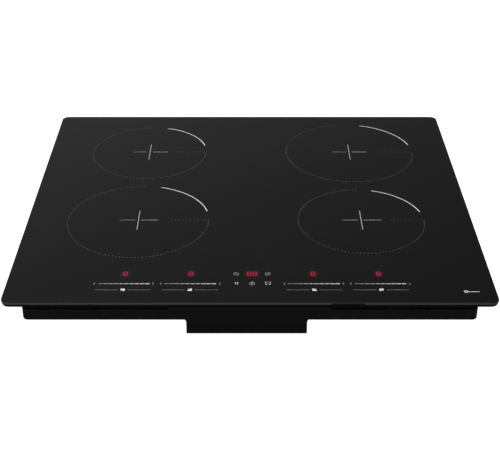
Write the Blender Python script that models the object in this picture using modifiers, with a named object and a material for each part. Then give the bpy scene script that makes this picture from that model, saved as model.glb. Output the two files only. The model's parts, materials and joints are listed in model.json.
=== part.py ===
"""Built-in induction cooktop with four cooking zones, as separate solids.

Metres, +Z up, front towards -Y. Z = 0 is the worktop surface that the seal rests on, and
X = Y = 0 is the centre of the glass and of the worktop cut-out.
"""

import math

import bmesh
import bpy
from mathutils import Matrix, Vector

MM = 0.001

# Clearances
GAP = 0.3 * MM              # between pieces that touch
REACH = 2.0 * MM            # how far a cutter runs past the face that it opens
BITE = 0.4 * MM             # how far a joined lug runs into its parent
NICK = 0.1 * MM             # keeps the faces of joined shapes from lying level

# Sides of round shapes, from large to small, and steps in rounded corners
WIDE_STEPS = 32
RING_STEPS = 24
POST_STEPS = 16
STUD_STEPS = 8
HEXAGON = 6
GLASS_CORNER_STEPS = 8
CASE_CORNER_STEPS = 4
BEND_STEPS = 3
EDGE_STEPS = 2

# Glass and what lies under its rim
GLASS_W = 590 * MM
GLASS_D = 520 * MM
GLASS_T = 4.0 * MM
GLASS_R = 10.0 * MM
SEAL_T = 1.7 * MM
SEAL_W = 7.0 * MM
SEAL_INSET = 1.0 * MM
GLUE_T = 1.0 * MM
GLUE_W = 6.0 * MM
GLUE_INSET = 1.0 * MM
MICA_T = 0.5 * MM

# Casing: an upper frame and a lower tray of sheet steel, with an air slot between them
OVERHANG_SIDE = 20.8 * MM   # glass past the casing, left and right
OVERHANG_FRONT = 15.0 * MM  # glass past the casing, front and back
CASE_BOTTOM = -29.2 * MM
CASE_R = 6.5 * MM
BEND_R = 1.5 * MM
SHEET = 0.8 * MM
FLANGE_W = 9.0 * MM
SLOT_TOP = -11.0 * MM
SLOT_H = 2.3 * MM
TONGUE_W = 196.5 * MM       # closed middle of the front slot
LEG = 12.0 * MM
LEG_INSET = 3.0 * MM
SCREW_R = 1.7 * MM
SCREW_HEAD_R = 3.5 * MM
SCREW_HEAD_H = 2.0 * MM
SCREW_LENGTH = 9.0 * MM
SCREW_DRIVE_R = 1.5 * MM

# Air slots in the casing
VENT_W = 3.0 * MM
VENT_PITCH = 8.0 * MM
VENT_H = 8.0 * MM
REAR_VENTS = 13             # in each of two rows
REAR_VENT_X = 95 * MM
FLOOR_VENTS = 7
FLOOR_VENT_L = 46 * MM
FLOOR_VENT_X = 165 * MM
FLOOR_VENT_Y = 40 * MM

# Sump with the two blowers
SUMP_W = 146 * MM
SUMP_L = 218.9 * MM
SUMP_SHIFT = -4.0 * MM      # the sump sits a little left of the middle
SUMP_BOTTOM = -48.8 * MM
SUMP_T = 1.2 * MM
APRON_FILLET = 2.0 * MM     # where the tray's front wall widens above the sump
TAB_W = 8.0 * MM
TAB_H = 2.0 * MM            # above the tray's floor
TAB_BARB = 1.2 * MM
FAN = 96 * MM
FAN_MARGIN = 8.0 * MM
FAN_TOP = -17.5 * MM
FAN_WALL = 1.5 * MM
FAN_HOLE_GAP = 2.0 * MM
FAN_CAVITY_R = 43.5 * MM
FAN_CORNER_R = 6.0 * MM
INLET_R = 28 * MM
OUTLET_W = 50 * MM
OUTLET_SILL = 1.0 * MM      # outlet above the tray's floor
GRILLE_R = 36 * MM
GRILLE_SLOT = 3.4 * MM
GRILLE_PITCH = 6.4 * MM
WHEEL_R = 40 * MM
WHEEL_GAP = 2.0 * MM        # from the ceiling of the housing
WHEEL_H = 20 * MM
PLATE_T = 1.2 * MM
BLADES = 14
BLADE_L = 13 * MM
BLADE_T = 1.0 * MM
BLADE_LEAN = math.radians(35)
CUP_R = 19 * MM
CUP_WALL = 2.0 * MM
STATOR_R = 14 * MM
STATOR_H = 14 * MM
SHAFT_R = 1.5 * MM
BORE_CAP = 1.5 * MM
END_RING_W = 4.5 * MM

# Cooking zones: coil sets on sprung carriers
ZONE_SIDE = 147.0 * MM      # zone centre from the glass's side
ZONE_BACK = 124.4 * MM      # rear zone centre from the glass's back
ZONE_FRONT = 194.2 * MM     # front zone centre from the glass's front
COIL_R_SMALL = 80 * MM
COIL_R_LARGE = 90 * MM
COIL_HOLE_R = 22 * MM
COIL_T = 4.0 * MM
CARRIER_FLOOR = 1.5 * MM
CARRIER_DROP = 0.2 * MM      # from the winding's face down to the carrier's rims
CARRIER_RIM = 1.5 * MM
SLEEVE_R = 9.0 * MM
SLEEVE_BORE_R = 6.0 * MM
SLEEVE_DROP = 1.1 * MM
FERRITE_T = 3.5 * MM
FERRITE_W = 15 * MM
FERRITE_HUB_R = 20 * MM
FERRITE_BORE_R = 14 * MM
FERRITE_ARMS = 8
SENSOR_R = 5.4 * MM
SENSOR_H = 5.7 * MM

# Aluminium plate under each pair of coils
SHELF_TOP = -14.8 * MM
SHELF_T = 1.5 * MM
SHELF_INNER = 56 * MM       # from the middle of the casing
SHELF_OUTER_GAP = 17.4 * MM
SHELF_MARGIN_BACK = 18.2 * MM
SHELF_FRONT = 79 * MM       # from the casing's front wall
SHELF_LEG_W = 24 * MM
SHELF_LEG_INSET = 15 * MM
POST_R = 4.0 * MM
SPRING_R = 7.2 * MM
SPRING_WIRE = 1.0 * MM
SPRING_TURNS = 3.0
SPRING_STEPS = 9            # points a turn

# Electronics
BOARD_T = 1.6 * MM
BOARD_LIFT = 3.0 * MM
BOARD_FOOT_R = 3.0 * MM
BOARD_INNER = 70 * MM
BOARD_OUTER_GAP = 21.4 * MM
BOARD_FRONT = 16 * MM
BOARD_L = 298 * MM
FOOT_INSET = 8.0 * MM
HEAT_SINK_L = 110 * MM
HEAT_SINK_W = 46 * MM
HEAT_SINK_H = 5.8 * MM
HEAT_SINK_BASE = 1.6 * MM
HEAT_SINK_SLOTS = 9
HEAT_SINK_X = 12 * MM       # from the board's inner edge
FILTER_W = 92 * MM
FILTER_L = 150 * MM
FILTER_BEHIND_SUMP = 30 * MM
CHOKE_R = 15 * MM
CHOKE_HOLE_R = 6.5 * MM
CHOKE_H = 11 * MM
HOLDER_W = 410 * MM
HOLDER_D = 58 * MM
HOLDER_SHIFT = 2.5 * MM     # the controls sit a little right of the middle
HOLDER_GAP = 0.5 * MM
HOLDER_WALL = 1.5 * MM
HOLDER_BOTTOM = -7.8 * MM
HOLDER_TOP = 1.4 * MM
PANEL_CLEAR = 1.0 * MM
DISPLAY_D = 18 * MM
DISPLAY_SIDE_W = 99 * MM
DISPLAY_MID_W = 32 * MM
DISPLAY_OFFSET = 115 * MM
DISPLAY_BACK = 48.5 * MM    # display centre behind the casing's front wall

# Terminal box under the rear right corner
TERMINAL_W = 88 * MM
TERMINAL_D = 62 * MM
TERMINAL_SIDE = 18.2 * MM   # from the casing's right wall
TERMINAL_BACK = 7.0 * MM    # from the casing's back wall
TERMINAL_WALL = 1.8 * MM
LID_T = 1.5 * MM
HINGE_R = 2.2 * MM
HINGE_PIN_R = 1.2 * MM
HINGE_REACH = 3.6 * MM      # axis in front of the box
EAR_T = 3.0 * MM
WIRE_HOLE_W = 36 * MM
WIRE_HOLE_D = 14 * MM
BLOCK_W = 46 * MM
BLOCK_D = 20 * MM
BLOCK_H = 12 * MM
BLOCK_FRONT = 18 * MM       # from the box's front
POLES = 5
POLE_PITCH = 8.6 * MM
POLE_R = 2.0 * MM
POLE_FRONT = 5.0 * MM       # screws behind the block's front
GLAND_R = 6.5 * MM
GLAND_BORE_R = 5.3 * MM
GLAND_FLANGE_R = 7.5 * MM
GLAND_FLANGE_T = 2.4 * MM

# Spring clips on the side walls
CLIP_Y = 120 * MM
CLIP_W = 24 * MM
CLIP_T = 0.8 * MM
CLIP_HOOK = 4.0 * MM
CLIP_BULGE = 6.8 * MM       # past the casing's wall
CLIP_BULGE_DROP = 10.0 * MM
CLIP_TIP = 4.6 * MM
CLIP_TIP_DROP = 14.6 * MM

# Worked out from the sizes above
GLASS_Z = SEAL_T + GAP
GLUE_Z = GLASS_Z - GAP - GLUE_T
FLANGE_TOP = GLUE_Z - GAP
CASE_W = GLASS_W - 2 * OVERHANG_SIDE
CASE_D = GLASS_D - 2 * OVERHANG_FRONT
INNER_W = CASE_W - 2 * SHEET
INNER_D = CASE_D - 2 * SHEET
FLOOR_Z = CASE_BOTTOM + SHEET
STAND_Z = FLOOR_Z + GAP
TRAY_TOP = SLOT_TOP - SLOT_H
TONGUE_TOP = FLANGE_TOP - SHEET - GAP
SHELF_Z = SHELF_TOP - SHELF_T
LEG_X = INNER_W / 2 - LEG_INSET - LEG / 2
LEG_Y = INNER_D / 2 - LEG_INSET - LEG / 2
SUMP_TOP = CASE_BOTTOM - GAP
SUMP_FRONT = -CASE_D / 2 + SHEET + GAP
SUMP_BACK = SUMP_FRONT + SUMP_L
FAN_BOTTOM = SUMP_BOTTOM + SUMP_T + GAP
FAN_Y = {
    "front": SUMP_FRONT + SUMP_T + FAN_MARGIN + FAN / 2,
    "rear": SUMP_BACK - SUMP_T - FAN_MARGIN - FAN / 2,
}
FAN_SIDE = {"front": -1, "rear": 1}
FAN_CEILING = FAN_TOP - FAN_WALL
MICA_Z = GLASS_Z - GAP - MICA_T
COIL_TOP = MICA_Z - GAP
CARRIER_TOP = COIL_TOP - CARRIER_DROP
CARRIER_Z = COIL_TOP - COIL_T - GAP - CARRIER_FLOOR
SLEEVE_BOTTOM = CARRIER_Z - SLEEVE_DROP
FERRITE_Z = CARRIER_Z - GAP - FERRITE_T
BOARD_Z = STAND_Z + BOARD_LIFT
BOARD_TOP = BOARD_Z + BOARD_T
HOLDER_FRONT = -CASE_D / 2 + FLANGE_W + HOLDER_GAP
PANEL_Z = HOLDER_BOTTOM + HOLDER_WALL + GAP
TERMINAL_X = CASE_W / 2 - TERMINAL_SIDE - TERMINAL_W / 2
TERMINAL_Y = CASE_D / 2 - TERMINAL_BACK - TERMINAL_D / 2
LID_TOP = SUMP_BOTTOM + LID_T
BOX_BOTTOM = LID_TOP + GAP
BOX_TOP = CASE_BOTTOM - GAP
HINGE_Y = TERMINAL_Y - TERMINAL_D / 2 - HINGE_REACH
HINGE_Z = SUMP_BOTTOM + HINGE_R
GLAND_Z = (BOX_BOTTOM + BOX_TOP - TERMINAL_WALL) / 2
ZONES = {
    "rear_left": (-GLASS_W / 2 + ZONE_SIDE, GLASS_D / 2 - ZONE_BACK, COIL_R_SMALL),
    "rear_right": (GLASS_W / 2 - ZONE_SIDE, GLASS_D / 2 - ZONE_BACK, COIL_R_LARGE),
    "front_left": (-GLASS_W / 2 + ZONE_SIDE, -GLASS_D / 2 + ZONE_FRONT, COIL_R_LARGE),
    "front_right": (GLASS_W / 2 - ZONE_SIDE, -GLASS_D / 2 + ZONE_FRONT, COIL_R_SMALL),
}
SIDES = {"left": -1, "right": 1}
CORNERS = {
    "front_left": (-1, -1),
    "front_right": (1, -1),
    "rear_left": (-1, 1),
    "rear_right": (1, 1),
}

SMOOTH_ANGLE = math.radians(35)


# ---------------------------------------------------------------- scene and materials

def clear_scene():
    for obj in list(bpy.data.objects):
        bpy.data.objects.remove(obj, do_unlink=True)


def new_collection(name):
    collection = bpy.data.collections.new(name)
    bpy.context.scene.collection.children.link(collection)
    return collection


def make_material(name, colour, roughness, metallic=0.0):
    material = bpy.data.materials.new(name)
    material.use_nodes = True
    shader = material.node_tree.nodes["Principled BSDF"]
    shader.inputs["Base Color"].default_value = (*colour, 1.0)
    shader.inputs["Roughness"].default_value = roughness
    shader.inputs["Metallic"].default_value = metallic
    return material


clear_scene()
PARTS = new_collection("induction_cooktop")
CUTTERS = new_collection("cutters")

GLASS_BLACK = make_material("glass_black", (0.012, 0.012, 0.013), 0.12)
SEAL_FOAM = make_material("seal_foam", (0.03, 0.03, 0.03), 0.9)
SILICONE = make_material("silicone", (0.02, 0.02, 0.02), 0.5)
CASE_PAINT = make_material("case_paint", (0.006, 0.006, 0.006), 0.5)
SUMP_PAINT = make_material("sump_paint", (0.007, 0.007, 0.007), 0.5)
SCREW_STEEL = make_material("screw_steel", (0.5, 0.5, 0.5), 0.35, 1.0)
CLIP_STEEL = make_material("clip_steel", (0.55, 0.55, 0.56), 0.3, 1.0)
SHELF_ALUMINIUM = make_material("shelf_aluminium", (0.7, 0.7, 0.71), 0.4, 1.0)
CARRIER_PLASTIC = make_material("carrier_plastic", (0.6, 0.58, 0.52), 0.6)
COPPER = make_material("copper_wire", (0.62, 0.27, 0.12), 0.4, 1.0)
FERRITE = make_material("ferrite", (0.05, 0.05, 0.05), 0.7)
MICA = make_material("mica", (0.55, 0.48, 0.36), 0.6)
SENSOR_WHITE = make_material("sensor_white", (0.75, 0.74, 0.7), 0.6)
SPRING_STEEL = make_material("spring_steel", (0.5, 0.5, 0.5), 0.3, 1.0)
BOARD_GREEN = make_material("board_green", (0.02, 0.12, 0.05), 0.45)
SINK_ALUMINIUM = make_material("sink_aluminium", (0.65, 0.65, 0.66), 0.4, 1.0)
FAN_BLACK = make_material("fan_black", (0.015, 0.015, 0.015), 0.5)
CHOKE_GREEN = make_material("choke_green", (0.03, 0.14, 0.08), 0.4)
HOLDER_PLASTIC = make_material("holder_plastic", (0.6, 0.6, 0.6), 0.55)
DISPLAY_BLACK = make_material("display_black", (0.01, 0.01, 0.01), 0.3)
TERMINAL_PLASTIC = make_material("terminal_plastic", (0.012, 0.012, 0.012), 0.5)
BLOCK_PLASTIC = make_material("block_plastic", (0.7, 0.7, 0.68), 0.5)
GLAND_PLASTIC = make_material("gland_plastic", (0.01, 0.01, 0.01), 0.6)


# ---------------------------------------------------------------- shapes

def put(name, mesh, material=None, collection=None):
    """A new object at the origin, in the parts' collection unless another is given."""
    obj = bpy.data.objects.new(name, mesh)
    (collection or PARTS).objects.link(obj)
    if material:
        mesh.materials.append(material)
    return obj


def mesh_from(name, bm):
    bmesh.ops.recalc_face_normals(bm, faces=bm.faces)
    mesh = bpy.data.meshes.new(name)
    bm.to_mesh(mesh)
    bm.free()
    return mesh


def add_box(bm, low, high):
    """Adds the box between two corners and returns its vertices."""
    low, high = Vector(low), Vector(high)
    made = bmesh.ops.create_cube(bm, size=1.0)["verts"]
    bmesh.ops.scale(bm, vec=high - low, verts=made)
    bmesh.ops.translate(bm, vec=(high + low) / 2, verts=made)
    return made


def upright(edge):
    a, b = edge.verts
    return abs(a.co.z - b.co.z) > 1e-6 and (a.co - b.co).xy.length < 1e-6


def round_edges(bm, edges, radius, segments):
    bmesh.ops.bevel(
        bm, geom=list(edges), offset=radius, segments=segments,
        affect="EDGES", profile=0.5, material=-1,
    )


def add_plate(bm, low, high, radius=0.0, segments=4):
    """Adds a box whose upright edges are rounded, and returns its faces."""
    before = set(bm.faces)
    made = add_box(bm, low, high)
    if radius:
        edges = {edge for vert in made for edge in vert.link_edges if upright(edge)}
        round_edges(bm, edges, radius, segments)
    return [face for face in bm.faces if face not in before]


def add_rod(bm, radius, start, end, steps=12):
    """Adds a capped cylinder between two points and returns its vertices."""
    start, end = Vector(start), Vector(end)
    along = end - start
    turn = Vector((0, 0, 1)).rotation_difference(along).to_matrix().to_4x4()
    place = Matrix.Translation((start + end) / 2) @ turn
    return bmesh.ops.create_cone(
        bm, cap_ends=True, segments=steps, radius1=radius, radius2=radius,
        depth=along.length, matrix=place,
    )["verts"]


def plate(name, low, high, material, radius=0.0, segments=4):
    bm = bmesh.new()
    add_plate(bm, low, high, radius, segments)
    return put(name, mesh_from(name, bm), material)


def cutter(name, build):
    """A hidden cutting solid; build adds its shapes to a bmesh."""
    bm = bmesh.new()
    build(bm)
    obj = put(name, mesh_from(name, bm), collection=CUTTERS)
    obj.hide_render = True
    obj.display_type = "WIRE"
    return obj


def combine(obj, tool, operation):
    modifier = obj.modifiers.new(operation.lower() + "_" + tool.name, "BOOLEAN")
    modifier.operation = operation
    modifier.solver = "EXACT"
    modifier.object = tool


def cut(obj, build):
    combine(obj, cutter(f"{obj.name}_cut_{len(obj.modifiers)}", build), "DIFFERENCE")


def join(obj, build):
    combine(obj, cutter(f"{obj.name}_add_{len(obj.modifiers)}", build), "UNION")


def thicken(obj, thickness):
    """Gives an open surface its wall, inwards."""
    modifier = obj.modifiers.new("wall", "SOLIDIFY")
    modifier.thickness = thickness
    modifier.offset = -1.0
    modifier.use_even_offset = True


def screwed(obj, steps):
    modifier = obj.modifiers.new("turn", "SCREW")
    modifier.axis = "Z"
    modifier.steps = steps
    modifier.render_steps = steps
    modifier.use_merge_vertices = True
    modifier.merge_threshold = 0.00001
    modifier.use_smooth_shade = False


def turned(name, profile, material, steps=RING_STEPS, ring=True):
    """A turned piece about Z. The profile holds (radius, z), down the outer side first."""
    bm = bmesh.new()
    verts = [bm.verts.new((radius, 0.0, z)) for radius, z in profile]
    pairs = list(zip(verts, verts[1:]))
    if ring:
        pairs.append((verts[-1], verts[0]))
    for pair in pairs:
        bm.edges.new(pair)
    mesh = bpy.data.meshes.new(name)
    bm.to_mesh(mesh)
    bm.free()
    obj = put(name, mesh, material)
    screwed(obj, steps)
    return obj


def settle(obj):
    """Replaces the modifiers by their result and shades the round faces smooth."""
    graph = bpy.context.evaluated_depsgraph_get()
    mesh = bpy.data.meshes.new_from_object(obj.evaluated_get(graph))
    obj.modifiers.clear()
    mesh.name = obj.name
    obj.data = mesh
    mesh.shade_smooth()
    mesh.set_sharp_from_angle(angle=SMOOTH_ANGLE)
    return obj


# ---------------------------------------------------------------- glass and rim

def glass_plate():
    low = (-GLASS_W / 2, -GLASS_D / 2, GLASS_Z)
    high = (GLASS_W / 2, GLASS_D / 2, GLASS_Z + GLASS_T)
    settle(plate("glass_plate", low, high, GLASS_BLACK, GLASS_R, GLASS_CORNER_STEPS))


def rim_ring(name, width, depth, band, z_low, z_high, radius, material):
    """A flat rectangular ring, band wide, inside the outline width x depth."""
    half = Vector((width / 2, depth / 2))
    obj = plate(name, (-half.x, -half.y, z_low), (half.x, half.y, z_high), material, radius)
    inside = half - Vector((band, band))
    low = (-inside.x, -inside.y, z_low - REACH)
    high = (inside.x, inside.y, z_high + REACH)
    cut(obj, lambda bm: add_plate(bm, low, high, radius / 2, BEND_STEPS))
    settle(obj)


def seal_and_glue():
    rim_ring(
        "seal_tape", GLASS_W - 2 * SEAL_INSET, GLASS_D - 2 * SEAL_INSET, SEAL_W,
        0.0, SEAL_T, GLASS_R - SEAL_INSET, SEAL_FOAM,
    )
    rim_ring(
        "adhesive_bead", CASE_W - 2 * GLUE_INSET, CASE_D - 2 * GLUE_INSET, GLUE_W,
        GLUE_Z, GLUE_Z + GLUE_T, CASE_R - GLUE_INSET, SILICONE,
    )


# ---------------------------------------------------------------- casing

def case_shell(name, z_low, z_high, open_top, bottom_radius):
    """The casing's outline between two heights, open on one side, with its wall."""
    bm = bmesh.new()
    low = (-CASE_W / 2, -CASE_D / 2, z_low)
    high = (CASE_W / 2, CASE_D / 2, z_high)
    add_plate(bm, low, high, CASE_R, CASE_CORNER_STEPS)
    open_z = z_high if open_top else z_low
    lid = [f for f in bm.faces if all(abs(v.co.z - open_z) < 1e-6 for v in f.verts)]
    bmesh.ops.delete(bm, geom=lid, context="FACES")
    if bottom_radius:
        floor = [
            e for e in bm.edges
            if all(abs(v.co.z - z_low) < 1e-6 for v in e.verts) and len(e.link_faces) == 2
        ]
        round_edges(bm, floor, bottom_radius, EDGE_STEPS)
    obj = put(name, mesh_from(name, bm), CASE_PAINT)
    thicken(obj, SHEET)
    return obj


def leg_places():
    return {name: (x * LEG_X, y * LEG_Y) for name, (x, y) in CORNERS.items()}


def upper_frame():
    """The ring that the glass is glued to, with a leg down to the tray in each corner."""
    obj = case_shell("upper_frame", SLOT_TOP, FLANGE_TOP, False, 0.0)
    x, y = CASE_W / 2 - FLANGE_W, CASE_D / 2 - FLANGE_W
    cut(obj, lambda bm: add_plate(
        bm, (-x, -y, SLOT_TOP), (x, y, FLANGE_TOP + REACH), CASE_R / 2, BEND_STEPS))

    half = TONGUE_W / 2 + GAP
    cut(obj, lambda bm: add_box(
        bm, (-half, -CASE_D / 2 - REACH, SLOT_TOP - REACH),
        (half, -CASE_D / 2 + SHEET + GAP, TONGUE_TOP + GAP)))

    def legs(bm):
        for px, py in leg_places().values():
            add_box(bm, (px - LEG / 2, py - LEG / 2, STAND_Z),
                    (px + LEG / 2, py + LEG / 2, FLANGE_TOP - SHEET / 2))

    def threads(bm):
        for px, py in leg_places().values():
            add_rod(bm, SCREW_R + GAP, (px, py, STAND_Z - REACH),
                    (px, py, STAND_Z + SCREW_LENGTH + GAP))

    join(obj, legs)
    cut(obj, threads)
    settle(obj)


def rear_vents(bm):
    """Two rows of upright slots through the back wall."""
    top = TRAY_TOP - VENT_W
    for side in SIDES.values():
        for i in range(REAR_VENTS):
            x = side * REAR_VENT_X + (i - (REAR_VENTS - 1) / 2) * VENT_PITCH
            add_box(bm, (x - VENT_W / 2, CASE_D / 2 - SHEET - REACH, top - VENT_H),
                    (x + VENT_W / 2, CASE_D / 2 + REACH, top))


def floor_vents(bm):
    """A group of long slots through the floor under each power board."""
    for side in SIDES.values():
        for i in range(FLOOR_VENTS):
            x = side * FLOOR_VENT_X + (i - (FLOOR_VENTS - 1) / 2) * VENT_PITCH
            add_box(bm, (x - VENT_W / 2, FLOOR_VENT_Y - FLOOR_VENT_L / 2, CASE_BOTTOM - REACH),
                    (x + VENT_W / 2, FLOOR_VENT_Y + FLOOR_VENT_L / 2, FLOOR_Z + REACH))


def sump_sides():
    return SUMP_SHIFT - SUMP_W / 2, SUMP_SHIFT + SUMP_W / 2


def tab_places():
    """Wall position, outward direction and Y of each snap tab of the sump."""
    left, right = sump_sides()
    for wall, out in ((left, -1), (right, 1)):
        for y in FAN_Y.values():
            yield wall, out, y


def tab_slots(bm):
    for wall, out, y in tab_places():
        xs = sorted((wall + out * (TAB_BARB + GAP), wall - out * (SUMP_T + GAP)))
        add_box(bm, (xs[0], y - TAB_W / 2 - GAP, CASE_BOTTOM - REACH),
                (xs[1], y + TAB_W / 2 + GAP, FLOOR_Z + REACH))


def apron(bm):
    """The front wall's middle part, which runs down in front of the sump."""
    left, right = sump_sides()
    front, back = -CASE_D / 2, -CASE_D / 2 + SHEET
    shoulder = CASE_BOTTOM - APRON_FILLET
    add_box(bm, (left - APRON_FILLET, front, shoulder),
            (right + APRON_FILLET, back, CASE_BOTTOM + BEND_R + BITE))
    low = [v for v in bm.verts if abs(v.co.z - shoulder) < NICK]
    for vert in low:
        vert.co.x += APRON_FILLET if vert.co.x < SUMP_SHIFT else -APRON_FILLET
    floor = [f for f in bm.faces if all(v in low for v in f.verts)]
    down = bmesh.ops.extrude_face_region(bm, geom=floor)["geom"]
    bmesh.ops.delete(bm, geom=floor, context="FACES")
    for vert in down:
        if isinstance(vert, bmesh.types.BMVert):
            vert.co.z = SUMP_BOTTOM


def bottom_tray():
    """The lower shell, with the front tongue that closes the middle of the air slot."""
    obj = case_shell("bottom_tray", CASE_BOTTOM, TONGUE_TOP, True, BEND_R)
    far_x, far_y = CASE_W / 2 + REACH, CASE_D / 2 + REACH
    behind = -CASE_D / 2 + BEND_R
    cut(obj, lambda bm: add_box(
        bm, (-far_x, behind, TRAY_TOP), (far_x, far_y, TONGUE_TOP + REACH)))
    for side in SIDES.values():
        xs = sorted((side * TONGUE_W / 2, side * far_x))
        cut(obj, lambda bm, xs=xs: add_box(
            bm, (xs[0], -far_y, TRAY_TOP), (xs[1], behind + REACH, TONGUE_TOP + REACH)))

    join(obj, apron)

    half = FAN / 2 + FAN_HOLE_GAP
    cut(obj, lambda bm: add_box(
        bm, (SUMP_SHIFT - half, FAN_Y["front"] - half, CASE_BOTTOM - REACH),
        (SUMP_SHIFT + half, FAN_Y["rear"] + half, FLOOR_Z + REACH)))

    def holes(bm):
        rear_vents(bm)
        floor_vents(bm)
        tab_slots(bm)
        for px, py in leg_places().values():
            add_rod(bm, SCREW_R + GAP, (px, py, CASE_BOTTOM - REACH), (px, py, FLOOR_Z + REACH))
        add_wire_hole(bm, CASE_BOTTOM - REACH, FLOOR_Z + REACH)

    cut(obj, holes)
    settle(obj)


def tray_screws():
    """Pan-head screws from below, through the tray's floor into the frame's legs."""
    for name, (px, py) in leg_places().items():
        bm = bmesh.new()
        top = CASE_BOTTOM - GAP
        add_rod(bm, SCREW_HEAD_R, (px, py, top - SCREW_HEAD_H), (px, py, top), POST_STEPS)
        obj = put("tray_screw_" + name, mesh_from("screw", bm), SCREW_STEEL)
        end = STAND_Z + SCREW_LENGTH - GAP
        join(obj, lambda bm: add_rod(bm, SCREW_R, (px, py, top - BITE), (px, py, end)))
        cut(obj, lambda bm: add_rod(
            bm, SCREW_DRIVE_R, (px, py, top - SCREW_HEAD_H - REACH),
            (px, py, top - SCREW_HEAD_H / 2), HEXAGON))
        settle(obj)


# ---------------------------------------------------------------- sump and blowers

def fan_sump():
    """The box below the tray that holds the blowers and takes in air through its floor."""
    left, right = sump_sides()
    bm = bmesh.new()
    add_box(bm, (left, SUMP_FRONT, SUMP_BOTTOM), (right, SUMP_BACK, SUMP_TOP))
    lid = [f for f in bm.faces if all(abs(v.co.z - SUMP_TOP) < 1e-6 for v in f.verts)]
    bmesh.ops.delete(bm, geom=lid, context="FACES")
    obj = put("fan_sump", mesh_from("fan_sump", bm), SUMP_PAINT)
    thicken(obj, SUMP_T)

    def tabs(bm):
        for wall, out, y in tab_places():
            xs = sorted((wall, wall - out * SUMP_T))
            add_box(bm, (xs[0], y - TAB_W / 2, SUMP_TOP - BITE),
                    (xs[1], y + TAB_W / 2, STAND_Z + TAB_H))

    def barbs(bm):
        for wall, out, y in tab_places():
            xs = sorted((wall + out * TAB_BARB, wall - out * SUMP_T / 2))
            add_box(bm, (xs[0], y - TAB_W / 2 + BITE, STAND_Z),
                    (xs[1], y + TAB_W / 2 - BITE, STAND_Z + TAB_H - BITE))

    def grilles(bm):
        rows = int(GRILLE_R // GRILLE_PITCH)
        for y in FAN_Y.values():
            for row in range(-rows, rows + 1):
                x = SUMP_SHIFT + row * GRILLE_PITCH
                reach = math.sqrt(GRILLE_R ** 2 - (row * GRILLE_PITCH) ** 2)
                add_box(bm, (x - GRILLE_SLOT / 2, y - reach, SUMP_BOTTOM - REACH),
                        (x + GRILLE_SLOT / 2, y + reach, SUMP_BOTTOM + SUMP_T + REACH))

    join(obj, tabs)
    join(obj, barbs)
    cut(obj, grilles)
    settle(obj)


def fan_housing(name):
    """Blower housing: air comes in from below and leaves through one side."""
    y, side = FAN_Y[name], FAN_SIDE[name]
    half = FAN / 2
    obj = plate(
        "fan_housing_" + name, (SUMP_SHIFT - half, y - half, FAN_BOTTOM),
        (SUMP_SHIFT + half, y + half, FAN_TOP), FAN_BLACK, FAN_CORNER_R, EDGE_STEPS)

    def cavity(bm):
        add_rod(bm, FAN_CAVITY_R, (SUMP_SHIFT, y, FAN_BOTTOM + FAN_WALL),
                (SUMP_SHIFT, y, FAN_CEILING), WIDE_STEPS)

    def inlet(bm):
        add_rod(bm, INLET_R, (SUMP_SHIFT, y, FAN_BOTTOM - REACH),
                (SUMP_SHIFT, y, FAN_BOTTOM + FAN_WALL + REACH), RING_STEPS)

    def outlet(bm):
        xs = sorted((SUMP_SHIFT, SUMP_SHIFT + side * (half + REACH)))
        add_box(bm, (xs[0], y - OUTLET_W / 2, FLOOR_Z + OUTLET_SILL),
                (xs[1], y + OUTLET_W / 2, FAN_CEILING - BITE))

    cut(obj, cavity)
    cut(obj, inlet)
    cut(obj, outlet)
    settle(obj)


def fan_motor(name):
    """The fixed stator under the housing's ceiling, with the bore that holds the shaft."""
    top = FAN_CEILING - GAP
    bore = SHAFT_R + GAP
    return turned("fan_motor_" + name, [
        (0.0, top), (STATOR_R, top), (STATOR_R, top - STATOR_H), (bore, top - STATOR_H),
        (bore, top - BORE_CAP), (0.0, top - BORE_CAP)], SCREW_STEEL, 20, ring=False)


def fan_impeller(name):
    """The blower wheel: a cup on a shaft, a back plate, leaning blades and an end ring."""
    plate_top = FAN_CEILING - WHEEL_GAP
    plate_low = plate_top - PLATE_T
    cup_low = FAN_CEILING - GAP - STATOR_H - WHEEL_GAP
    shaft_top = FAN_CEILING - STATOR_H / 2
    obj = turned("fan_impeller_" + name, [
        (0.0, shaft_top), (SHAFT_R, shaft_top), (SHAFT_R, cup_low),
        (CUP_R - CUP_WALL, cup_low), (CUP_R - CUP_WALL, plate_top),
        (WHEEL_R, plate_top), (WHEEL_R, plate_low),
        (CUP_R, plate_low), (CUP_R, cup_low - CUP_WALL), (0.0, cup_low - CUP_WALL)],
        FAN_BLACK, ring=False)
    blade_low = plate_top - WHEEL_H

    def blades(bm):
        for i in range(BLADES):
            made = add_box(bm, (-BLADE_L / 2, -BLADE_T / 2, blade_low),
                           (BLADE_L / 2, BLADE_T / 2, plate_low + BITE))
            lean = Matrix.Rotation(BLADE_LEAN, 4, "Z")
            out = Matrix.Translation((WHEEL_R - BLADE_L / 2, 0, 0))
            turn = Matrix.Rotation(i * math.tau / BLADES, 4, "Z")
            bmesh.ops.transform(bm, matrix=turn @ out @ lean, verts=made)

    join(obj, blades)
    inner = WHEEL_R - END_RING_W
    ring = turned("end_ring_" + name, [
        (WHEEL_R, blade_low + PLATE_T), (WHEEL_R, blade_low - BITE),
        (inner, blade_low - BITE), (inner, blade_low + PLATE_T)], None)
    ring.hide_render = True
    ring.display_type = "WIRE"
    PARTS.objects.unlink(ring)
    CUTTERS.objects.link(ring)
    combine(obj, ring, "UNION")
    return obj


def blowers():
    for name in FAN_Y:
        fan_housing(name)
        for piece in (fan_motor(name), fan_impeller(name)):
            settle(piece)
            piece.location = (SUMP_SHIFT, FAN_Y[name], 0.0)


# ---------------------------------------------------------------- coil sets

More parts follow.
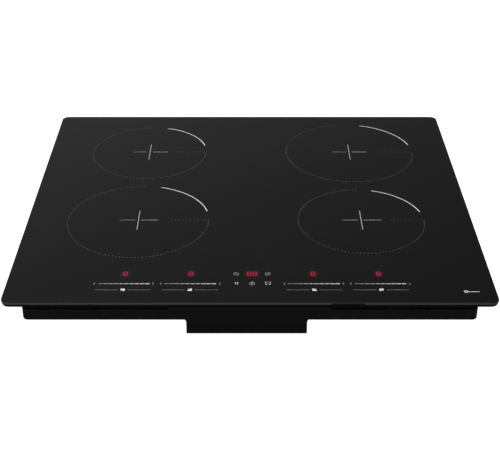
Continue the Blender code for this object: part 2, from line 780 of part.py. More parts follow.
def coil_carrier(zone, radius):
    rim = radius - CARRIER_RIM
    floor = CARRIER_Z + CARRIER_FLOOR
    return turned("coil_carrier_" + zone, [
        (radius, CARRIER_TOP), (radius, CARRIER_Z), (SLEEVE_R, CARRIER_Z),
        (SLEEVE_R, SLEEVE_BOTTOM), (SLEEVE_BORE_R, SLEEVE_BOTTOM),
        (SLEEVE_BORE_R, CARRIER_TOP), (SLEEVE_R, CARRIER_TOP), (SLEEVE_R, floor),
        (rim, floor), (rim, CARRIER_TOP)], CARRIER_PLASTIC)


def coil_winding(zone, radius):
    outer = radius - CARRIER_RIM - GAP
    low = COIL_TOP - COIL_T
    return turned("coil_winding_" + zone, [
        (outer, COIL_TOP), (outer, low), (COIL_HOLE_R, low), (COIL_HOLE_R, COIL_TOP)], COPPER)


def ferrite_star(zone, radius):
    """Flat bars under the coil that carry its field back, joined at a hub."""
    top = FERRITE_Z + FERRITE_T
    obj = turned("ferrite_star_" + zone, [
        (FERRITE_HUB_R, top), (FERRITE_HUB_R, FERRITE_Z),
        (FERRITE_BORE_R, FERRITE_Z), (FERRITE_BORE_R, top)], FERRITE)
    start = FERRITE_HUB_R - FERRITE_W / 5
    end = radius - CARRIER_RIM

    for arm in range(FERRITE_ARMS):
        def bar(bm, arm=arm):
            made = add_box(bm, (start, -FERRITE_W / 2 + arm % 2 * BITE, FERRITE_Z + NICK),
                           (end, FERRITE_W / 2 - arm % 2 * BITE, top - NICK))
            turn = Matrix.Rotation(arm * math.tau / FERRITE_ARMS, 4, "Z")
            bmesh.ops.transform(bm, matrix=turn, verts=made)
        join(obj, bar)
    return obj


def temperature_sensor(zone):
    top = GLASS_Z - GAP
    return turned("temperature_sensor_" + zone, [
        (0.0, top), (SENSOR_R, top), (SENSOR_R, top - SENSOR_H), (0.0, top - SENSOR_H)],
        SENSOR_WHITE, 16, ring=False)


def coil_spring(zone, x, y):
    """The coil spring round the plate's post that presses the carrier up."""
    low = SHELF_TOP + GAP + SPRING_WIRE / 2
    high = SLEEVE_BOTTOM - GAP - SPRING_WIRE / 2
    count = int(SPRING_TURNS * SPRING_STEPS)
    curve = bpy.data.curves.new("coil_spring_" + zone, "CURVE")
    curve.dimensions = "3D"
    curve.bevel_depth = SPRING_WIRE / 2
    curve.bevel_resolution = 2
    curve.use_fill_caps = True
    spline = curve.splines.new("POLY")
    spline.points.add(count)
    for i, point in enumerate(spline.points):
        angle = i * math.tau / SPRING_STEPS
        height = low + (high - low) * i / count
        point.co = (SPRING_R * math.cos(angle), SPRING_R * math.sin(angle), height, 1.0)
    obj = bpy.data.objects.new("coil_spring_" + zone, curve)
    PARTS.objects.link(obj)
    curve.materials.append(SPRING_STEEL)
    obj.location = (x, y, 0.0)


def coil_sets():
    for zone, (x, y, radius) in ZONES.items():
        pieces = (coil_carrier(zone, radius), coil_winding(zone, radius),
                  ferrite_star(zone, radius), temperature_sensor(zone))
        for piece in pieces:
            settle(piece)
            piece.location = (x, y, 0.0)
        coil_spring(zone, x, y)


def shelf_box(side):
    """The plan of one shelf, as two corners, for the side -1 or 1."""
    outer = INNER_W / 2 - SHELF_OUTER_GAP
    xs = sorted((side * SHELF_INNER, side * outer))
    return (xs[0], -CASE_D / 2 + SHELF_FRONT), (xs[1], CASE_D / 2 - SHELF_MARGIN_BACK)


def zones_on(side):
    return [(x, y) for x, y, _ in ZONES.values() if x * side > 0]


def coil_shelves():
    """An aluminium plate under each pair of coils, on folded legs, with a post per coil."""
    for name, side in SIDES.items():
        low, high = shelf_box(side)
        obj = plate("coil_shelf_" + name, (*low, SHELF_Z), (*high, SHELF_TOP), SHELF_ALUMINIUM)

        def legs(bm):
            for x in (low[0], high[0] - SHELF_T):
                for y in (low[1] + SHELF_LEG_INSET, high[1] - SHELF_LEG_INSET - SHELF_LEG_W):
                    add_box(bm, (x + NICK, y, STAND_Z),
                            (x + SHELF_T - NICK, y + SHELF_LEG_W, SHELF_Z + SHELF_T / 2))

        def posts(bm):
            top = SLEEVE_BOTTOM - SLEEVE_DROP
            for x, y in zones_on(side):
                add_rod(bm, POST_R, (x, y, SHELF_TOP - SHELF_T / 2), (x, y, top), POST_STEPS)

        join(obj, legs)
        join(obj, posts)
        settle(obj)


def mica_sheets():
    """Insulating sheets between the coils and the glass, with a hole for each sensor."""
    for name, side in SIDES.items():
        low, high = shelf_box(side)
        obj = plate("mica_sheet_" + name, (*low, MICA_Z), (*high, MICA_Z + MICA_T), MICA)

        def holes(bm):
            for x, y in zones_on(side):
                add_rod(bm, SLEEVE_BORE_R, (x, y, MICA_Z - REACH), (x, y, GLASS_Z + REACH), POST_STEPS)

        cut(obj, holes)
        settle(obj)


# ---------------------------------------------------------------- electronics

def board(name, low, high):
    """A circuit board on four feet."""
    obj = plate(name, (*low, BOARD_Z), (*high, BOARD_TOP), BOARD_GREEN)

    def feet(bm):
        for x in (low[0] + FOOT_INSET, high[0] - FOOT_INSET):
            for y in (low[1] + FOOT_INSET, high[1] - FOOT_INSET):
                add_rod(bm, BOARD_FOOT_R, (x, y, STAND_Z), (x, y, BOARD_Z + BITE), STUD_STEPS)

    join(obj, feet)
    settle(obj)


def heat_sink(name, x_low, y):
    """A comb of fins along X, in the blower's air stream."""
    base = BOARD_TOP + GAP
    low = (x_low, y - HEAT_SINK_W / 2, base)
    high = (x_low + HEAT_SINK_L, y + HEAT_SINK_W / 2, base + HEAT_SINK_H)
    obj = plate("heat_sink_" + name, low, high, SINK_ALUMINIUM)
    pitch = HEAT_SINK_W / (HEAT_SINK_SLOTS + 0.5)

    def channels(bm):
        for i in range(HEAT_SINK_SLOTS):
            middle = y + (i - (HEAT_SINK_SLOTS - 1) / 2) * pitch
            add_box(bm, (low[0] - REACH, middle - pitch / 3, base + HEAT_SINK_BASE),
                    (high[0] + REACH, middle + pitch / 3, high[2] + REACH))

    cut(obj, channels)
    settle(obj)


def power_electronics():
    front = -CASE_D / 2 + BOARD_FRONT
    outer = INNER_W / 2 - BOARD_OUTER_GAP
    for (name, side), y in zip(SIDES.items(), FAN_Y.values()):
        xs = sorted((side * BOARD_INNER, side * outer))
        board("power_board_" + name, (xs[0], front), (xs[1], front + BOARD_L))
        inner = side * (BOARD_INNER + HEAT_SINK_X)
        heat_sink(name, min(inner, inner + side * HEAT_SINK_L), y)


def filter_electronics():
    front = SUMP_BACK + FILTER_BEHIND_SUMP
    board("filter_board", (-FILTER_W / 2, front), (FILTER_W / 2, front + FILTER_L))
    low = BOARD_TOP + GAP
    choke = turned("filter_choke", [
        (CHOKE_R, low + CHOKE_H), (CHOKE_R, low),
        (CHOKE_HOLE_R, low), (CHOKE_HOLE_R, low + CHOKE_H)], CHOKE_GREEN)
    settle(choke)
    choke.location = (0.0, front + FILTER_L / 2, 0.0)


def controls():
    """The touch board in its holder, close under the glass, with three display modules."""
    left, right = HOLDER_SHIFT - HOLDER_W / 2, HOLDER_SHIFT + HOLDER_W / 2
    front, back = HOLDER_FRONT, HOLDER_FRONT + HOLDER_D
    bm = bmesh.new()
    add_box(bm, (left, front, HOLDER_BOTTOM), (right, back, HOLDER_TOP))
    lid = [f for f in bm.faces if all(abs(v.co.z - HOLDER_TOP) < 1e-6 for v in f.verts)]
    bmesh.ops.delete(bm, geom=lid, context="FACES")
    holder = put("control_holder", mesh_from("control_holder", bm), HOLDER_PLASTIC)
    thicken(holder, HOLDER_WALL)
    settle(holder)

    inset = HOLDER_WALL + PANEL_CLEAR
    panel_top = PANEL_Z + BOARD_T
    plate("control_board", (left + inset, front + inset, PANEL_Z),
          (right - inset, back - inset, panel_top), BOARD_GREEN)
    y = -CASE_D / 2 + DISPLAY_BACK
    modules = {
        "left": (HOLDER_SHIFT - DISPLAY_OFFSET, DISPLAY_SIDE_W),
        "centre": (HOLDER_SHIFT, DISPLAY_MID_W),
        "right": (HOLDER_SHIFT + DISPLAY_OFFSET, DISPLAY_SIDE_W),
    }
    for name, (x, width) in modules.items():
        plate("display_module_" + name, (x - width / 2, y - DISPLAY_D / 2, panel_top + GAP),
              (x + width / 2, y + DISPLAY_D / 2, GLASS_Z - GAP), DISPLAY_BLACK)


# ---------------------------------------------------------------- terminal box

def add_wire_hole(bm, z_low, z_high):
    """The way for the inner wires, from the terminal box into the casing."""
    y = TERMINAL_Y - TERMINAL_D / 2 + BLOCK_FRONT + BLOCK_D + WIRE_HOLE_D / 2 + REACH
    add_box(bm, (TERMINAL_X - WIRE_HOLE_W / 2, y - WIRE_HOLE_D / 2, z_low),
            (TERMINAL_X + WIRE_HOLE_W / 2, y + WIRE_HOLE_D / 2, z_high))


def terminal_box():
    left, right = TERMINAL_X - TERMINAL_W / 2, TERMINAL_X + TERMINAL_W / 2
    front, back = TERMINAL_Y - TERMINAL_D / 2, TERMINAL_Y + TERMINAL_D / 2
    bm = bmesh.new()
    add_box(bm, (left, front, BOX_BOTTOM), (right, back, BOX_TOP))
    lid = [f for f in bm.faces if all(abs(v.co.z - BOX_BOTTOM) < 1e-6 for v in f.verts)]
    bmesh.ops.delete(bm, geom=lid, context="FACES")
    obj = put("terminal_box", mesh_from("terminal_box", bm), TERMINAL_PLASTIC)
    thicken(obj, TERMINAL_WALL)

    ear_front = HINGE_Y - HINGE_R
    ear_top = HINGE_Z + 2 * HINGE_R

    def ears(bm):
        for x in (left, right - EAR_T):
            add_box(bm, (x, ear_front, SUMP_BOTTOM), (x + EAR_T, front + TERMINAL_WALL / 2, ear_top))

    def holes(bm):
        add_wire_hole(bm, BOX_TOP - TERMINAL_WALL - REACH, BOX_TOP + REACH)
        add_rod(bm, GLAND_R + GAP, (TERMINAL_X, back - TERMINAL_WALL - REACH, GLAND_Z),
                (TERMINAL_X, back + REACH, GLAND_Z), RING_STEPS)

    join(obj, ears)
    cut(obj, holes)
    cut(obj, lambda bm: add_rod(bm, HINGE_PIN_R + GAP, (left - REACH, HINGE_Y, HINGE_Z),
                                (right + REACH, HINGE_Y, HINGE_Z)))
    settle(obj)


def terminal_cover():
    """The lid under the terminal box, with a barrel and pin ends along its front edge."""
    left, right = TERMINAL_X - TERMINAL_W / 2, TERMINAL_X + TERMINAL_W / 2
    back = TERMINAL_Y + TERMINAL_D / 2
    inset = EAR_T + GAP
    obj = plate("terminal_cover", (left + inset, HINGE_Y, SUMP_BOTTOM),
                (right - inset, back, LID_TOP), TERMINAL_PLASTIC)
    join(obj, lambda bm: add_rod(bm, HINGE_R, (left + inset + GAP, HINGE_Y, HINGE_Z),
                                 (right - inset - GAP, HINGE_Y, HINGE_Z), POST_STEPS))
    join(obj, lambda bm: add_rod(bm, HINGE_PIN_R, (left + GAP, HINGE_Y, HINGE_Z),
                                 (right - GAP, HINGE_Y, HINGE_Z)))
    settle(obj)


def terminal_block():
    """The screw terminals: wires enter from the back, the screws face down."""
    front = TERMINAL_Y - TERMINAL_D / 2 + BLOCK_FRONT
    top = BOX_TOP - TERMINAL_WALL - GAP
    low = top - BLOCK_H
    obj = plate("terminal_block", (TERMINAL_X - BLOCK_W / 2, front, low),
                (TERMINAL_X + BLOCK_W / 2, front + BLOCK_D, top), BLOCK_PLASTIC)
    poles = [TERMINAL_X + (i - (POLES - 1) / 2) * POLE_PITCH for i in range(POLES)]
    middle = (top + low) / 2

    def wires(bm):
        for x in poles:
            add_rod(bm, POLE_R, (x, front + BLOCK_D / 2, middle),
                    (x, front + BLOCK_D + REACH, middle), STUD_STEPS)

    def screws(bm):
        for x in poles:
            add_rod(bm, POLE_R, (x, front + POLE_FRONT, low - REACH),
                    (x, front + POLE_FRONT, middle), STUD_STEPS)

    cut(obj, wires)
    cut(obj, screws)
    settle(obj)


def cable_gland():
    """The grommet in the back wall of the terminal box that the supply cable passes."""
    back = TERMINAL_Y + TERMINAL_D / 2
    outside, inside = back + GAP, back - TERMINAL_WALL - GAP
    obj = turned("cable_gland", [
        (GLAND_FLANGE_R, outside + GLAND_FLANGE_T), (GLAND_FLANGE_R, outside),
        (GLAND_R, outside), (GLAND_R, inside), (GLAND_FLANGE_R, inside),
        (GLAND_FLANGE_R, inside - GLAND_FLANGE_T), (GLAND_BORE_R, inside - GLAND_FLANGE_T),
        (GLAND_BORE_R, outside + GLAND_FLANGE_T)], GLAND_PLASTIC)
    settle(obj)
    obj.rotation_euler = (-math.pi / 2, 0.0, 0.0)
    obj.location = (TERMINAL_X, 0.0, GLAND_Z)


# ---------------------------------------------------------------- spring clips

def mounting_clips():
    """Bent leaves hooked over the tray's side walls, which grip the worktop cut-out."""
    wall = CASE_W / 2
    outer = wall + GAP
    top = TRAY_TOP + GAP
    outline = [
        (wall - SHEET - GAP - CLIP_T, top - CLIP_HOOK), (wall - SHEET - GAP - CLIP_T, top + CLIP_T),
        (outer + CLIP_T, top + CLIP_T), (wall + CLIP_BULGE, top - CLIP_BULGE_DROP),
        (wall + CLIP_TIP, top - CLIP_TIP_DROP), (wall + CLIP_TIP - CLIP_T, top - CLIP_TIP_DROP),
        (wall + CLIP_BULGE - CLIP_T, top - CLIP_BULGE_DROP), (outer, top),
        (wall - SHEET - GAP, top), (wall - SHEET - GAP, top - CLIP_HOOK),
    ]
    for name, (side, end) in CORNERS.items():
        bm = bmesh.new()
        y = end * CLIP_Y - CLIP_W / 2
        face = bm.faces.new([bm.verts.new((side * x, y, z)) for x, z in outline])
        grown = bmesh.ops.extrude_face_region(bm, geom=[face])["geom"]
        verts = [item for item in grown if isinstance(item, bmesh.types.BMVert)]
        bmesh.ops.translate(bm, vec=(0.0, CLIP_W, 0.0), verts=verts)
        put("mounting_clip_" + name, mesh_from("mounting_clip", bm), CLIP_STEEL)


def main():
    glass_plate()
    seal_and_glue()
    upper_frame()
    bottom_tray()
    tray_screws()
    fan_sump()
    blowers()
    coil_sets()
    coil_shelves()
    mica_sheets()
    power_electronics()
    filter_electronics()
    controls()
    terminal_box()
    terminal_cover()
    terminal_block()
    cable_gland()
    mounting_clips()


main()
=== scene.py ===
"""Visible pieces, finishes and stage of a built-in induction cooktop, laid over its CAD frame."""

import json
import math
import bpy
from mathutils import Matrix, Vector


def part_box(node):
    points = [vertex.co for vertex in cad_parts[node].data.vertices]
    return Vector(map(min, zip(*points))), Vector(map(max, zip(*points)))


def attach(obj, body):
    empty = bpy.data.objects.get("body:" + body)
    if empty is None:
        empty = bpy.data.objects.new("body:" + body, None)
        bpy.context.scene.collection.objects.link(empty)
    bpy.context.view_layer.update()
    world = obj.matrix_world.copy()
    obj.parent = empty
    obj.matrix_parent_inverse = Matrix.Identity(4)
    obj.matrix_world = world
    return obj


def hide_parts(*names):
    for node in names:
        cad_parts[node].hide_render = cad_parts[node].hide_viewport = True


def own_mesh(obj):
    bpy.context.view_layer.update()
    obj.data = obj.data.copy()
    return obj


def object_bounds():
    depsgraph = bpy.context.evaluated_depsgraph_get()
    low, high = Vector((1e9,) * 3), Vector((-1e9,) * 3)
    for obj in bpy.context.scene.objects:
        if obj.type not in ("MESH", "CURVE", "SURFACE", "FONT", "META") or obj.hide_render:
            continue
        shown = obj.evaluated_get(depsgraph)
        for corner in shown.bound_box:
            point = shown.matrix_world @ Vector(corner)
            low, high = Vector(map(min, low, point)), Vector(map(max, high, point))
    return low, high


bl_info = {
    "name": "Induction Cooktop",
    "version": (1, 0, 0),
    "blender": (4, 5, 0),
    "location": "View3D > Sidebar > Cooktop",
    "description": "Builds the glass, its printed marks, the finishes and the stage of a cooktop",
    "category": "Object",
}

import bmesh
import bpy
from bpy.props import FloatProperty, FloatVectorProperty, IntProperty, PointerProperty
from mathutils import Matrix, Vector

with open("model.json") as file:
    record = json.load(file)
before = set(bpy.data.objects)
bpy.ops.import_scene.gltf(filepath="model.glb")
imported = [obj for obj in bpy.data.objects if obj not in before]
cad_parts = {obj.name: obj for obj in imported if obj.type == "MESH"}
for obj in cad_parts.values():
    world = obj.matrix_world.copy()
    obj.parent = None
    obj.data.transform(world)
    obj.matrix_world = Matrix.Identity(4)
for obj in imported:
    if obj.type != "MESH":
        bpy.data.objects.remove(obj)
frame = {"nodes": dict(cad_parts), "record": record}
CAD_LOW, CAD_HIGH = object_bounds()

MM = 0.001
ZONES = ("front_left", "front_right", "rear_left", "rear_right")

FULL_TURN = 2 * math.pi
UPRIGHT = Matrix.Rotation(math.pi / 2, 4, "X")      # stands a flat ring on its edge
CIRCLE_STEPS = 24
WIRE_SIDES = 8
DOT_SIDES = 8
SOFT_EDGE = 0.3 * MM        # largest bevel on the boards' parts
RELIEF_SCALE = 6.0          # how much finer a finish's relief is than its colour

# Touch controls, from the middles of the display modules under them
SLIDER_SPREAD = 40.2 * MM   # each slider to the left or right
SLIDER_DROP = 22.2 * MM     # sliders in front
KEY_SPREAD = 19.4 * MM      # outer keys to the left and right


# ---- sizes and colours -------------------------------------------------------------------------


def length(name, text, value):
    """A size property in metres."""
    return FloatProperty(name=name, description=text, default=value, min=0.0, unit="LENGTH")


def colour(name, text, value):
    """A linear colour property."""
    return FloatVectorProperty(
        name=name, description=text, default=value, size=3, min=0.0, subtype="COLOR"
    )


class CooktopGlass(bpy.types.PropertyGroup):
    """The glass plate."""

    corner: length("Corner", "Radius of the plate's corners seen from above", 10 * MM)
    edge: length("Edge", "How far the upper rim is rounded over", 0.25 * MM)
    under: length("Under", "How far the lower rim is ground away", 1.3 * MM)
    tint: colour("Tint", "Darkest colour of the glass ceramic", (0.0007, 0.0007, 0.0008))
    grain: colour("Grain", "Colour of the satin grain in it", (0.0019, 0.0019, 0.0021))


class CooktopPrint(bpy.types.PropertyGroup):
    """The marks printed on the glass."""

    film: length("Film", "Thickness of the printed marks", 0.05 * MM)
    ring_margin: length("Ring margin", "Gap from a coil's edge to its printed ring", 3.65 * MM)
    arc_width: length("Arc width", "Width of the solid part of each ring", 1.15 * MM)
    dot: length("Dot", "Radius of the dots of each ring", 0.42 * MM)
    dot_pitch: length("Dot pitch", "Distance between the dots", 4.78 * MM)
    row_start: FloatProperty(
        name="Row start", description="Where the dotted spoke starts, in ring radii",
        default=0.47, min=0.0, max=1.0, subtype="FACTOR")
    cross: length("Cross", "Half length of each zone's cross", 24.6 * MM)
    line: length("Line", "Width of the thin lines", 0.8 * MM)
    steps: IntProperty(name="Steps", description="Segments in each slider", default=10, min=2)
    white: colour("White", "Colour of the bright print", (1.0, 1.0, 1.0))
    pale: colour("Pale", "Colour of the thin print", (0.6, 0.6, 0.6))
    grey: colour("Grey", "Colour of the faint print", (0.42, 0.42, 0.42))
    red: colour("Red", "Colour of the lit digits", (0.62, 0.03, 0.08))
    halo: colour("Halo", "Colour of the glow round the lit digits", (0.12, 0.003, 0.011))
    lit: FloatProperty(name="Lit", description="Brightness of the lit digits", default=1.0)


class CooktopInner(bpy.types.PropertyGroup):
    """Screws, windings, springs and the parts on the boards."""

    litz: length("Litz", "Width of one turn of the coils' stranded wire", 2.76 * MM)
    eye: length("Eye", "Radius of the hole in the middle of each winding", 22 * MM)
    head: length("Head", "Height of the screw heads", 2 * MM)
    drive: length("Drive", "Radius of the six-lobed drive in the screw heads", 1.6 * MM)
    wire: length("Wire", "Diameter of the choke's wire", 1.0 * MM)
    turns: IntProperty(name="Turns", description="Turns on each half of the choke", default=10)
    part_tall: length("Part height", "Height of the tallest parts on the boards", 6.2 * MM)
    spring_wire: length("Spring wire", "Diameter of the coil springs' wire", 1.0 * MM)
    spring_turns: FloatProperty(
        name="Spring turns", description="Rising turns of each coil spring", default=2.5)
    travel: length("Travel", "How far each coil set sinks on its spring", 3.0 * MM)


class CooktopStage(bpy.types.PropertyGroup):
    """The floor, the table under it and the lights."""

    floor: colour("Floor", "Light that the floor gives back", (0.35, 0.35, 0.35))
    table: FloatProperty(name="Table", description="Glow of the table underneath", default=1.2)
    key: FloatProperty(name="Key", description="Power of the overhead softbox", default=56.0)
    fill: FloatProperty(name="Fill", description="Power of the front softbox", default=10.0)


# ---- modelling helpers -------------------------------------------------------------------------


def place(x, y, z, turn=0.0, size=(1, 1, 1)):
    """A matrix that scales, turns about Z and moves."""
    grow = Matrix.Diagonal((*size, 1.0))
    return Matrix.Translation((x, y, z)) @ Matrix.Rotation(turn, 4, "Z") @ grow


def slab(bm, x, y, z, long, wide, thick, turn=0.0):
    """Adds a flat bar whose underside lies at z, and returns its vertices."""
    where = place(x, y, z + thick / 2, turn, (long, wide, thick))
    return bmesh.ops.create_cube(bm, size=1.0, matrix=where)["verts"]


def stroke(bm, start, end, z, wide, thick):
    """Adds a flat bar from one point to another."""
    run = Vector(end) - Vector(start)
    mid = (Vector(start) + Vector(end)) / 2
    return slab(bm, mid.x, mid.y, z, run.length, wide, thick, math.atan2(run.y, run.x))


def disc(bm, x, y, z, radius, thick):
    """Adds a round flat dot whose underside lies at z."""
    where = place(x, y, z + thick / 2)
    bmesh.ops.create_cone(
        bm, cap_ends=True, segments=DOT_SIDES, radius1=radius, radius2=radius * 0.94,
        depth=thick, matrix=where,
    )


def soften(bm, edges, offset, segments):
    """Bevels edges to a round profile."""
    return bmesh.ops.bevel(
        bm, geom=edges, offset=offset, offset_type="OFFSET", affect="EDGES", segments=segments,
        profile=0.5, material=-1,
    )


def wire_ring(bm, start, radius, shape=Matrix(), sides=WIRE_SIDES):
    """Adds the section of a wire that runs along Y from start, and returns its vertices."""
    where = Matrix.Translation(start) @ UPRIGHT @ shape
    return bmesh.ops.create_circle(bm, segments=sides, radius=radius, matrix=where)["verts"]


def close_ends(bm):
    """Closes the open ends of wires."""
    rims = [e for e in bm.edges if e.is_boundary]
    bmesh.ops.holes_fill(bm, edges=rims, sides=WIRE_SIDES)


def band(bm, x, y, z, radius, wide, thick, start=0.0, sweep=FULL_TURN, steps=CIRCLE_STEPS):
    """Adds a flat curved bar by spinning its cross section about Z."""
    along = Vector((math.cos(start), math.sin(start), 0))
    centre = Vector((x, y, z))
    inner, outer = along * (radius - wide / 2), along * (radius + wide / 2)
    up = Vector((0, 0, thick))
    ring = [bm.verts.new(centre + p) for p in (inner, outer, outer + up, inner + up)]
    edges = [bm.edges.new((ring[i], ring[i - 1])) for i in range(len(ring))]
    whole = math.isclose(abs(sweep), FULL_TURN)
    bmesh.ops.spin(
        bm, geom=ring + edges, cent=centre, axis=(0, 0, 1), angle=sweep, steps=steps,
        use_merge=whole,
    )
    if not whole:
        bmesh.ops.holes_fill(bm, edges=bm.edges, sides=len(ring))


def turned(bm, centre, profile, steps=CIRCLE_STEPS):
    """Spins a profile of (radius, height) pairs about Z, closes both ends, returns the rings."""
    centre = Vector(centre)
    line = [bm.verts.new(centre + Vector((radius, 0, height))) for radius, height in profile]
    edges = [bm.edges.new(pair) for pair in zip(line, line[1:])]
    before = set(bm.verts) - set(line)
    bmesh.ops.spin(bm, geom=line + edges, cent=centre, axis=(0, 0, 1), angle=FULL_TURN,
                   steps=steps, use_merge=True)
    made = [v for v in bm.verts if v not in before]
    rims = [e for v in made for e in v.link_edges if e.is_boundary]
    bmesh.ops.holes_fill(bm, edges=list(set(rims)), sides=steps)
    return made


def screw(bm, x, y, low, head, reach, radius, shank, drive):
    """Adds a domed screw with a six-lobed drive, its head facing down at z = low."""
    made = turned(bm, (x, y, low), [
        (drive, 0.6 * head), (drive, 0.06 * head), (0.7 * radius, 0.0), (0.9 * radius, 0.14 * head),
        (radius, 0.45 * head), (radius, head), (shank, head), (shank, reach - 0.3 * shank),
        (0.7 * shank, reach),
    ])
    for v in made:
        away = Vector((v.co.x - x, v.co.y - y))
        if away.length < 1.01 * drive and v.co.z < low + head:
            swell = 0.88 + 0.14 * math.cos(6 * math.atan2(away.y, away.x))
            v.co.x, v.co.y = x + swell * away.x, y + swell * away.y


def block(bm, x, y, z, long, wide, tall, finish=0):
    """Adds a box that stands on z, with softened edges, in one of the piece's finishes."""
    made = slab(bm, x, y, z, long, wide, tall)
    edges = list({e for v in made for e in v.link_edges})
    bevelled = soften(bm, edges, min(SOFT_EDGE, 0.2 * tall), 1)
    for face in {f for v in bevelled["verts"] for f in v.link_faces}:
        face.material_index = finish


def can(bm, x, y, z, radius, tall, finish=0):
    """Adds an upright round part with softened rims."""
    soft = 0.12 * radius
    made = turned(bm, (x, y, z), [
        (radius - soft, 0), (radius, soft), (radius, tall - soft), (radius - soft, tall)], 20)
    for face in {f for v in made for f in v.link_faces}:
        face.material_index = finish


def rounded_plate(bm, low, high, corner, over, under, corner_steps=10, edge_steps=2):
    """Adds a plate with round corners and softened upper and lower rims."""
    middle, size = (low + high) / 2, high - low
    where = Matrix.Translation(middle) @ Matrix.Diagonal((*size, 1.0))
    made = bmesh.ops.create_cube(bm, size=1.0, matrix=where)["verts"]
    mine = set(made)
    upright = [
        e for e in bm.edges
        if e.verts[0] in mine and abs(e.verts[0].co.z - e.verts[1].co.z) > size.z / 2
    ]
    first = soften(bm, upright, corner, corner_steps)
    mine = {v for v in made if v.is_valid} | set(first["verts"])
    bm.normal_update()
    for level, offset in ((high.z, over), (low.z, under)):
        rim = [
            e for e in bm.edges
            if e.is_valid and all(v in mine and abs(v.co.z - level) < size.z / 9 for v in e.verts)
            and len({round(abs(f.normal.z)) for f in e.link_faces}) == 2
        ]
        soften(bm, rim, offset, edge_steps)
        mine = {v for v in mine if v.is_valid}


def piece(name, bm, finishes, body="casing", replaces=(), smooth=30.0):
    """Turns a bmesh into a named piece that rides on a body."""
    bmesh.ops.recalc_face_normals(bm, faces=bm.faces)
    mesh = bpy.data.meshes.new(name)
    bm.to_mesh(mesh)
    bm.free()
    mesh.polygons.foreach_set("use_smooth", [True] * len(mesh.polygons))
    mesh.set_sharp_from_angle(angle=math.radians(smooth))
    for finish in finishes if isinstance(finishes, (list, tuple)) else [finishes]:
        mesh.materials.append(finish)
    made = bpy.data.objects.new(name, mesh)
    bpy.context.scene.collection.objects.link(made)
    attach(made, body)
    if replaces:
        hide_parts(*replaces)
    return made


# ---- finishes ----------------------------------------------------------------------------------


def blank(name):
    """A new material with a principled shader, and a function that adds nodes to it."""
    finish = bpy.data.materials.new(name)
    finish.use_nodes = True
    tree = finish.node_tree
    tree.nodes.clear()

    def add(kind, inputs=(), **settings):
        node = tree.nodes.new(kind)
        for key, value in settings.items():
            setattr(node, key, value)
        for socket, value in inputs:
            if isinstance(value, bpy.types.NodeSocket):
                tree.links.new(value, node.inputs[socket])
            else:
                node.inputs[socket].default_value = value
        return node

    shader = add("ShaderNodeBsdfPrincipled")
    add("ShaderNodeOutputMaterial", [("Surface", shader.outputs[0])])
    return finish, shader, add


def blend_colours(add, factor, first, second):
    """A node that runs from one colour to another."""
    return add(
        "ShaderNodeMix", [(0, factor), (6, (*first, 1)), (7, (*second, 1))], data_type="RGBA"
    ).outputs[2]


def noise(add, space, scale, detail):
    """Grey value of a noise pattern."""
    settings = [("Vector", space), ("Scale", scale), ("Detail", detail)]
    return add("ShaderNodeTexNoise", settings).outputs[0]


def between(add, value, low, high):
    """A value that runs from low to high as the one given goes from 0 to 1."""
    settings = [("Value", value), ("To Min", low), ("To Max", high)]
    return add("ShaderNodeMapRange", settings).outputs[0]


def textured(name, dark, light, grain=200.0, rough=(0.4, 0.5), relief=0.2, depth=0.05 * MM,
             pattern="noise", stretch=(1, 1, 1), metal=0.0, specular=0.5, coat=0.0):
    """A finish whose colour, roughness and relief vary with one pattern."""
    known = bpy.data.materials.get(name)
    if known:
        return known
    finish, shader, add = blank(name)
    coords = add("ShaderNodeTexCoord").outputs["Object"]
    space = add("ShaderNodeMapping", [("Vector", coords), ("Scale", stretch)]).outputs[0]
    if pattern == "cells":
        factor = add("ShaderNodeTexVoronoi", [("Vector", space), ("Scale", grain)]).outputs[0]
    else:
        factor = noise(add, space, grain, 5.0)
    small = noise(add, space, RELIEF_SCALE * grain, 3.0)
    shader.id_data.links.new(blend_colours(add, factor, dark, light), shader.inputs["Base Color"])
    shader.id_data.links.new(between(add, factor, *rough), shader.inputs["Roughness"])
    bump = add(
        "ShaderNodeBump", [("Strength", relief), ("Distance", depth), ("Height", small)]
    ).outputs[0]
    shader.id_data.links.new(bump, shader.inputs["Normal"])
    shader.inputs["Metallic"].default_value = metal
    shader.inputs["Specular IOR Level"].default_value = specular
    shader.inputs["Coat Weight"].default_value = coat
    return finish


def glass_finish(name, glow=None):
    """Black glass ceramic with a satin grain, lit from below where it carries a glow attribute."""
    known = bpy.data.materials.get(name)
    if known:
        return known
    look = bpy.context.scene.cooktop_glass
    finish, shader, add = blank(name)
    links = shader.id_data.links
    coords = add("ShaderNodeTexCoord").outputs["Object"]
    grain = noise(add, coords, 900.0, 4.0)
    haze = noise(add, coords, 7.0, 3.0)
    links.new(blend_colours(add, grain, look.tint, look.grain), shader.inputs["Base Color"])
    links.new(between(add, haze, 0.2, 0.3), shader.inputs["Roughness"])
    bump = add(
        "ShaderNodeBump", [("Strength", 0.12), ("Distance", 0.02 * MM), ("Height", grain)]
    ).outputs[0]
    links.new(bump, shader.inputs["Normal"])
    if glow:
        amount = add("ShaderNodeAttribute", attribute_name=glow).outputs["Fac"]
        halo = bpy.context.scene.cooktop_print.halo
        light = blend_colours(add, amount, (0, 0, 0), halo)
        links.new(light, shader.inputs["Emission Color"])
        shader.inputs["Emission Strength"].default_value = 1.0
    return finish


def print_finish(name, tone):
    """Fired enamel print, a little uneven."""
    worn = tuple(0.78 * c for c in tone)
    return textured(name, worn, tone, grain=700.0, rough=(0.45, 0.6), relief=0.1, specular=0.3)


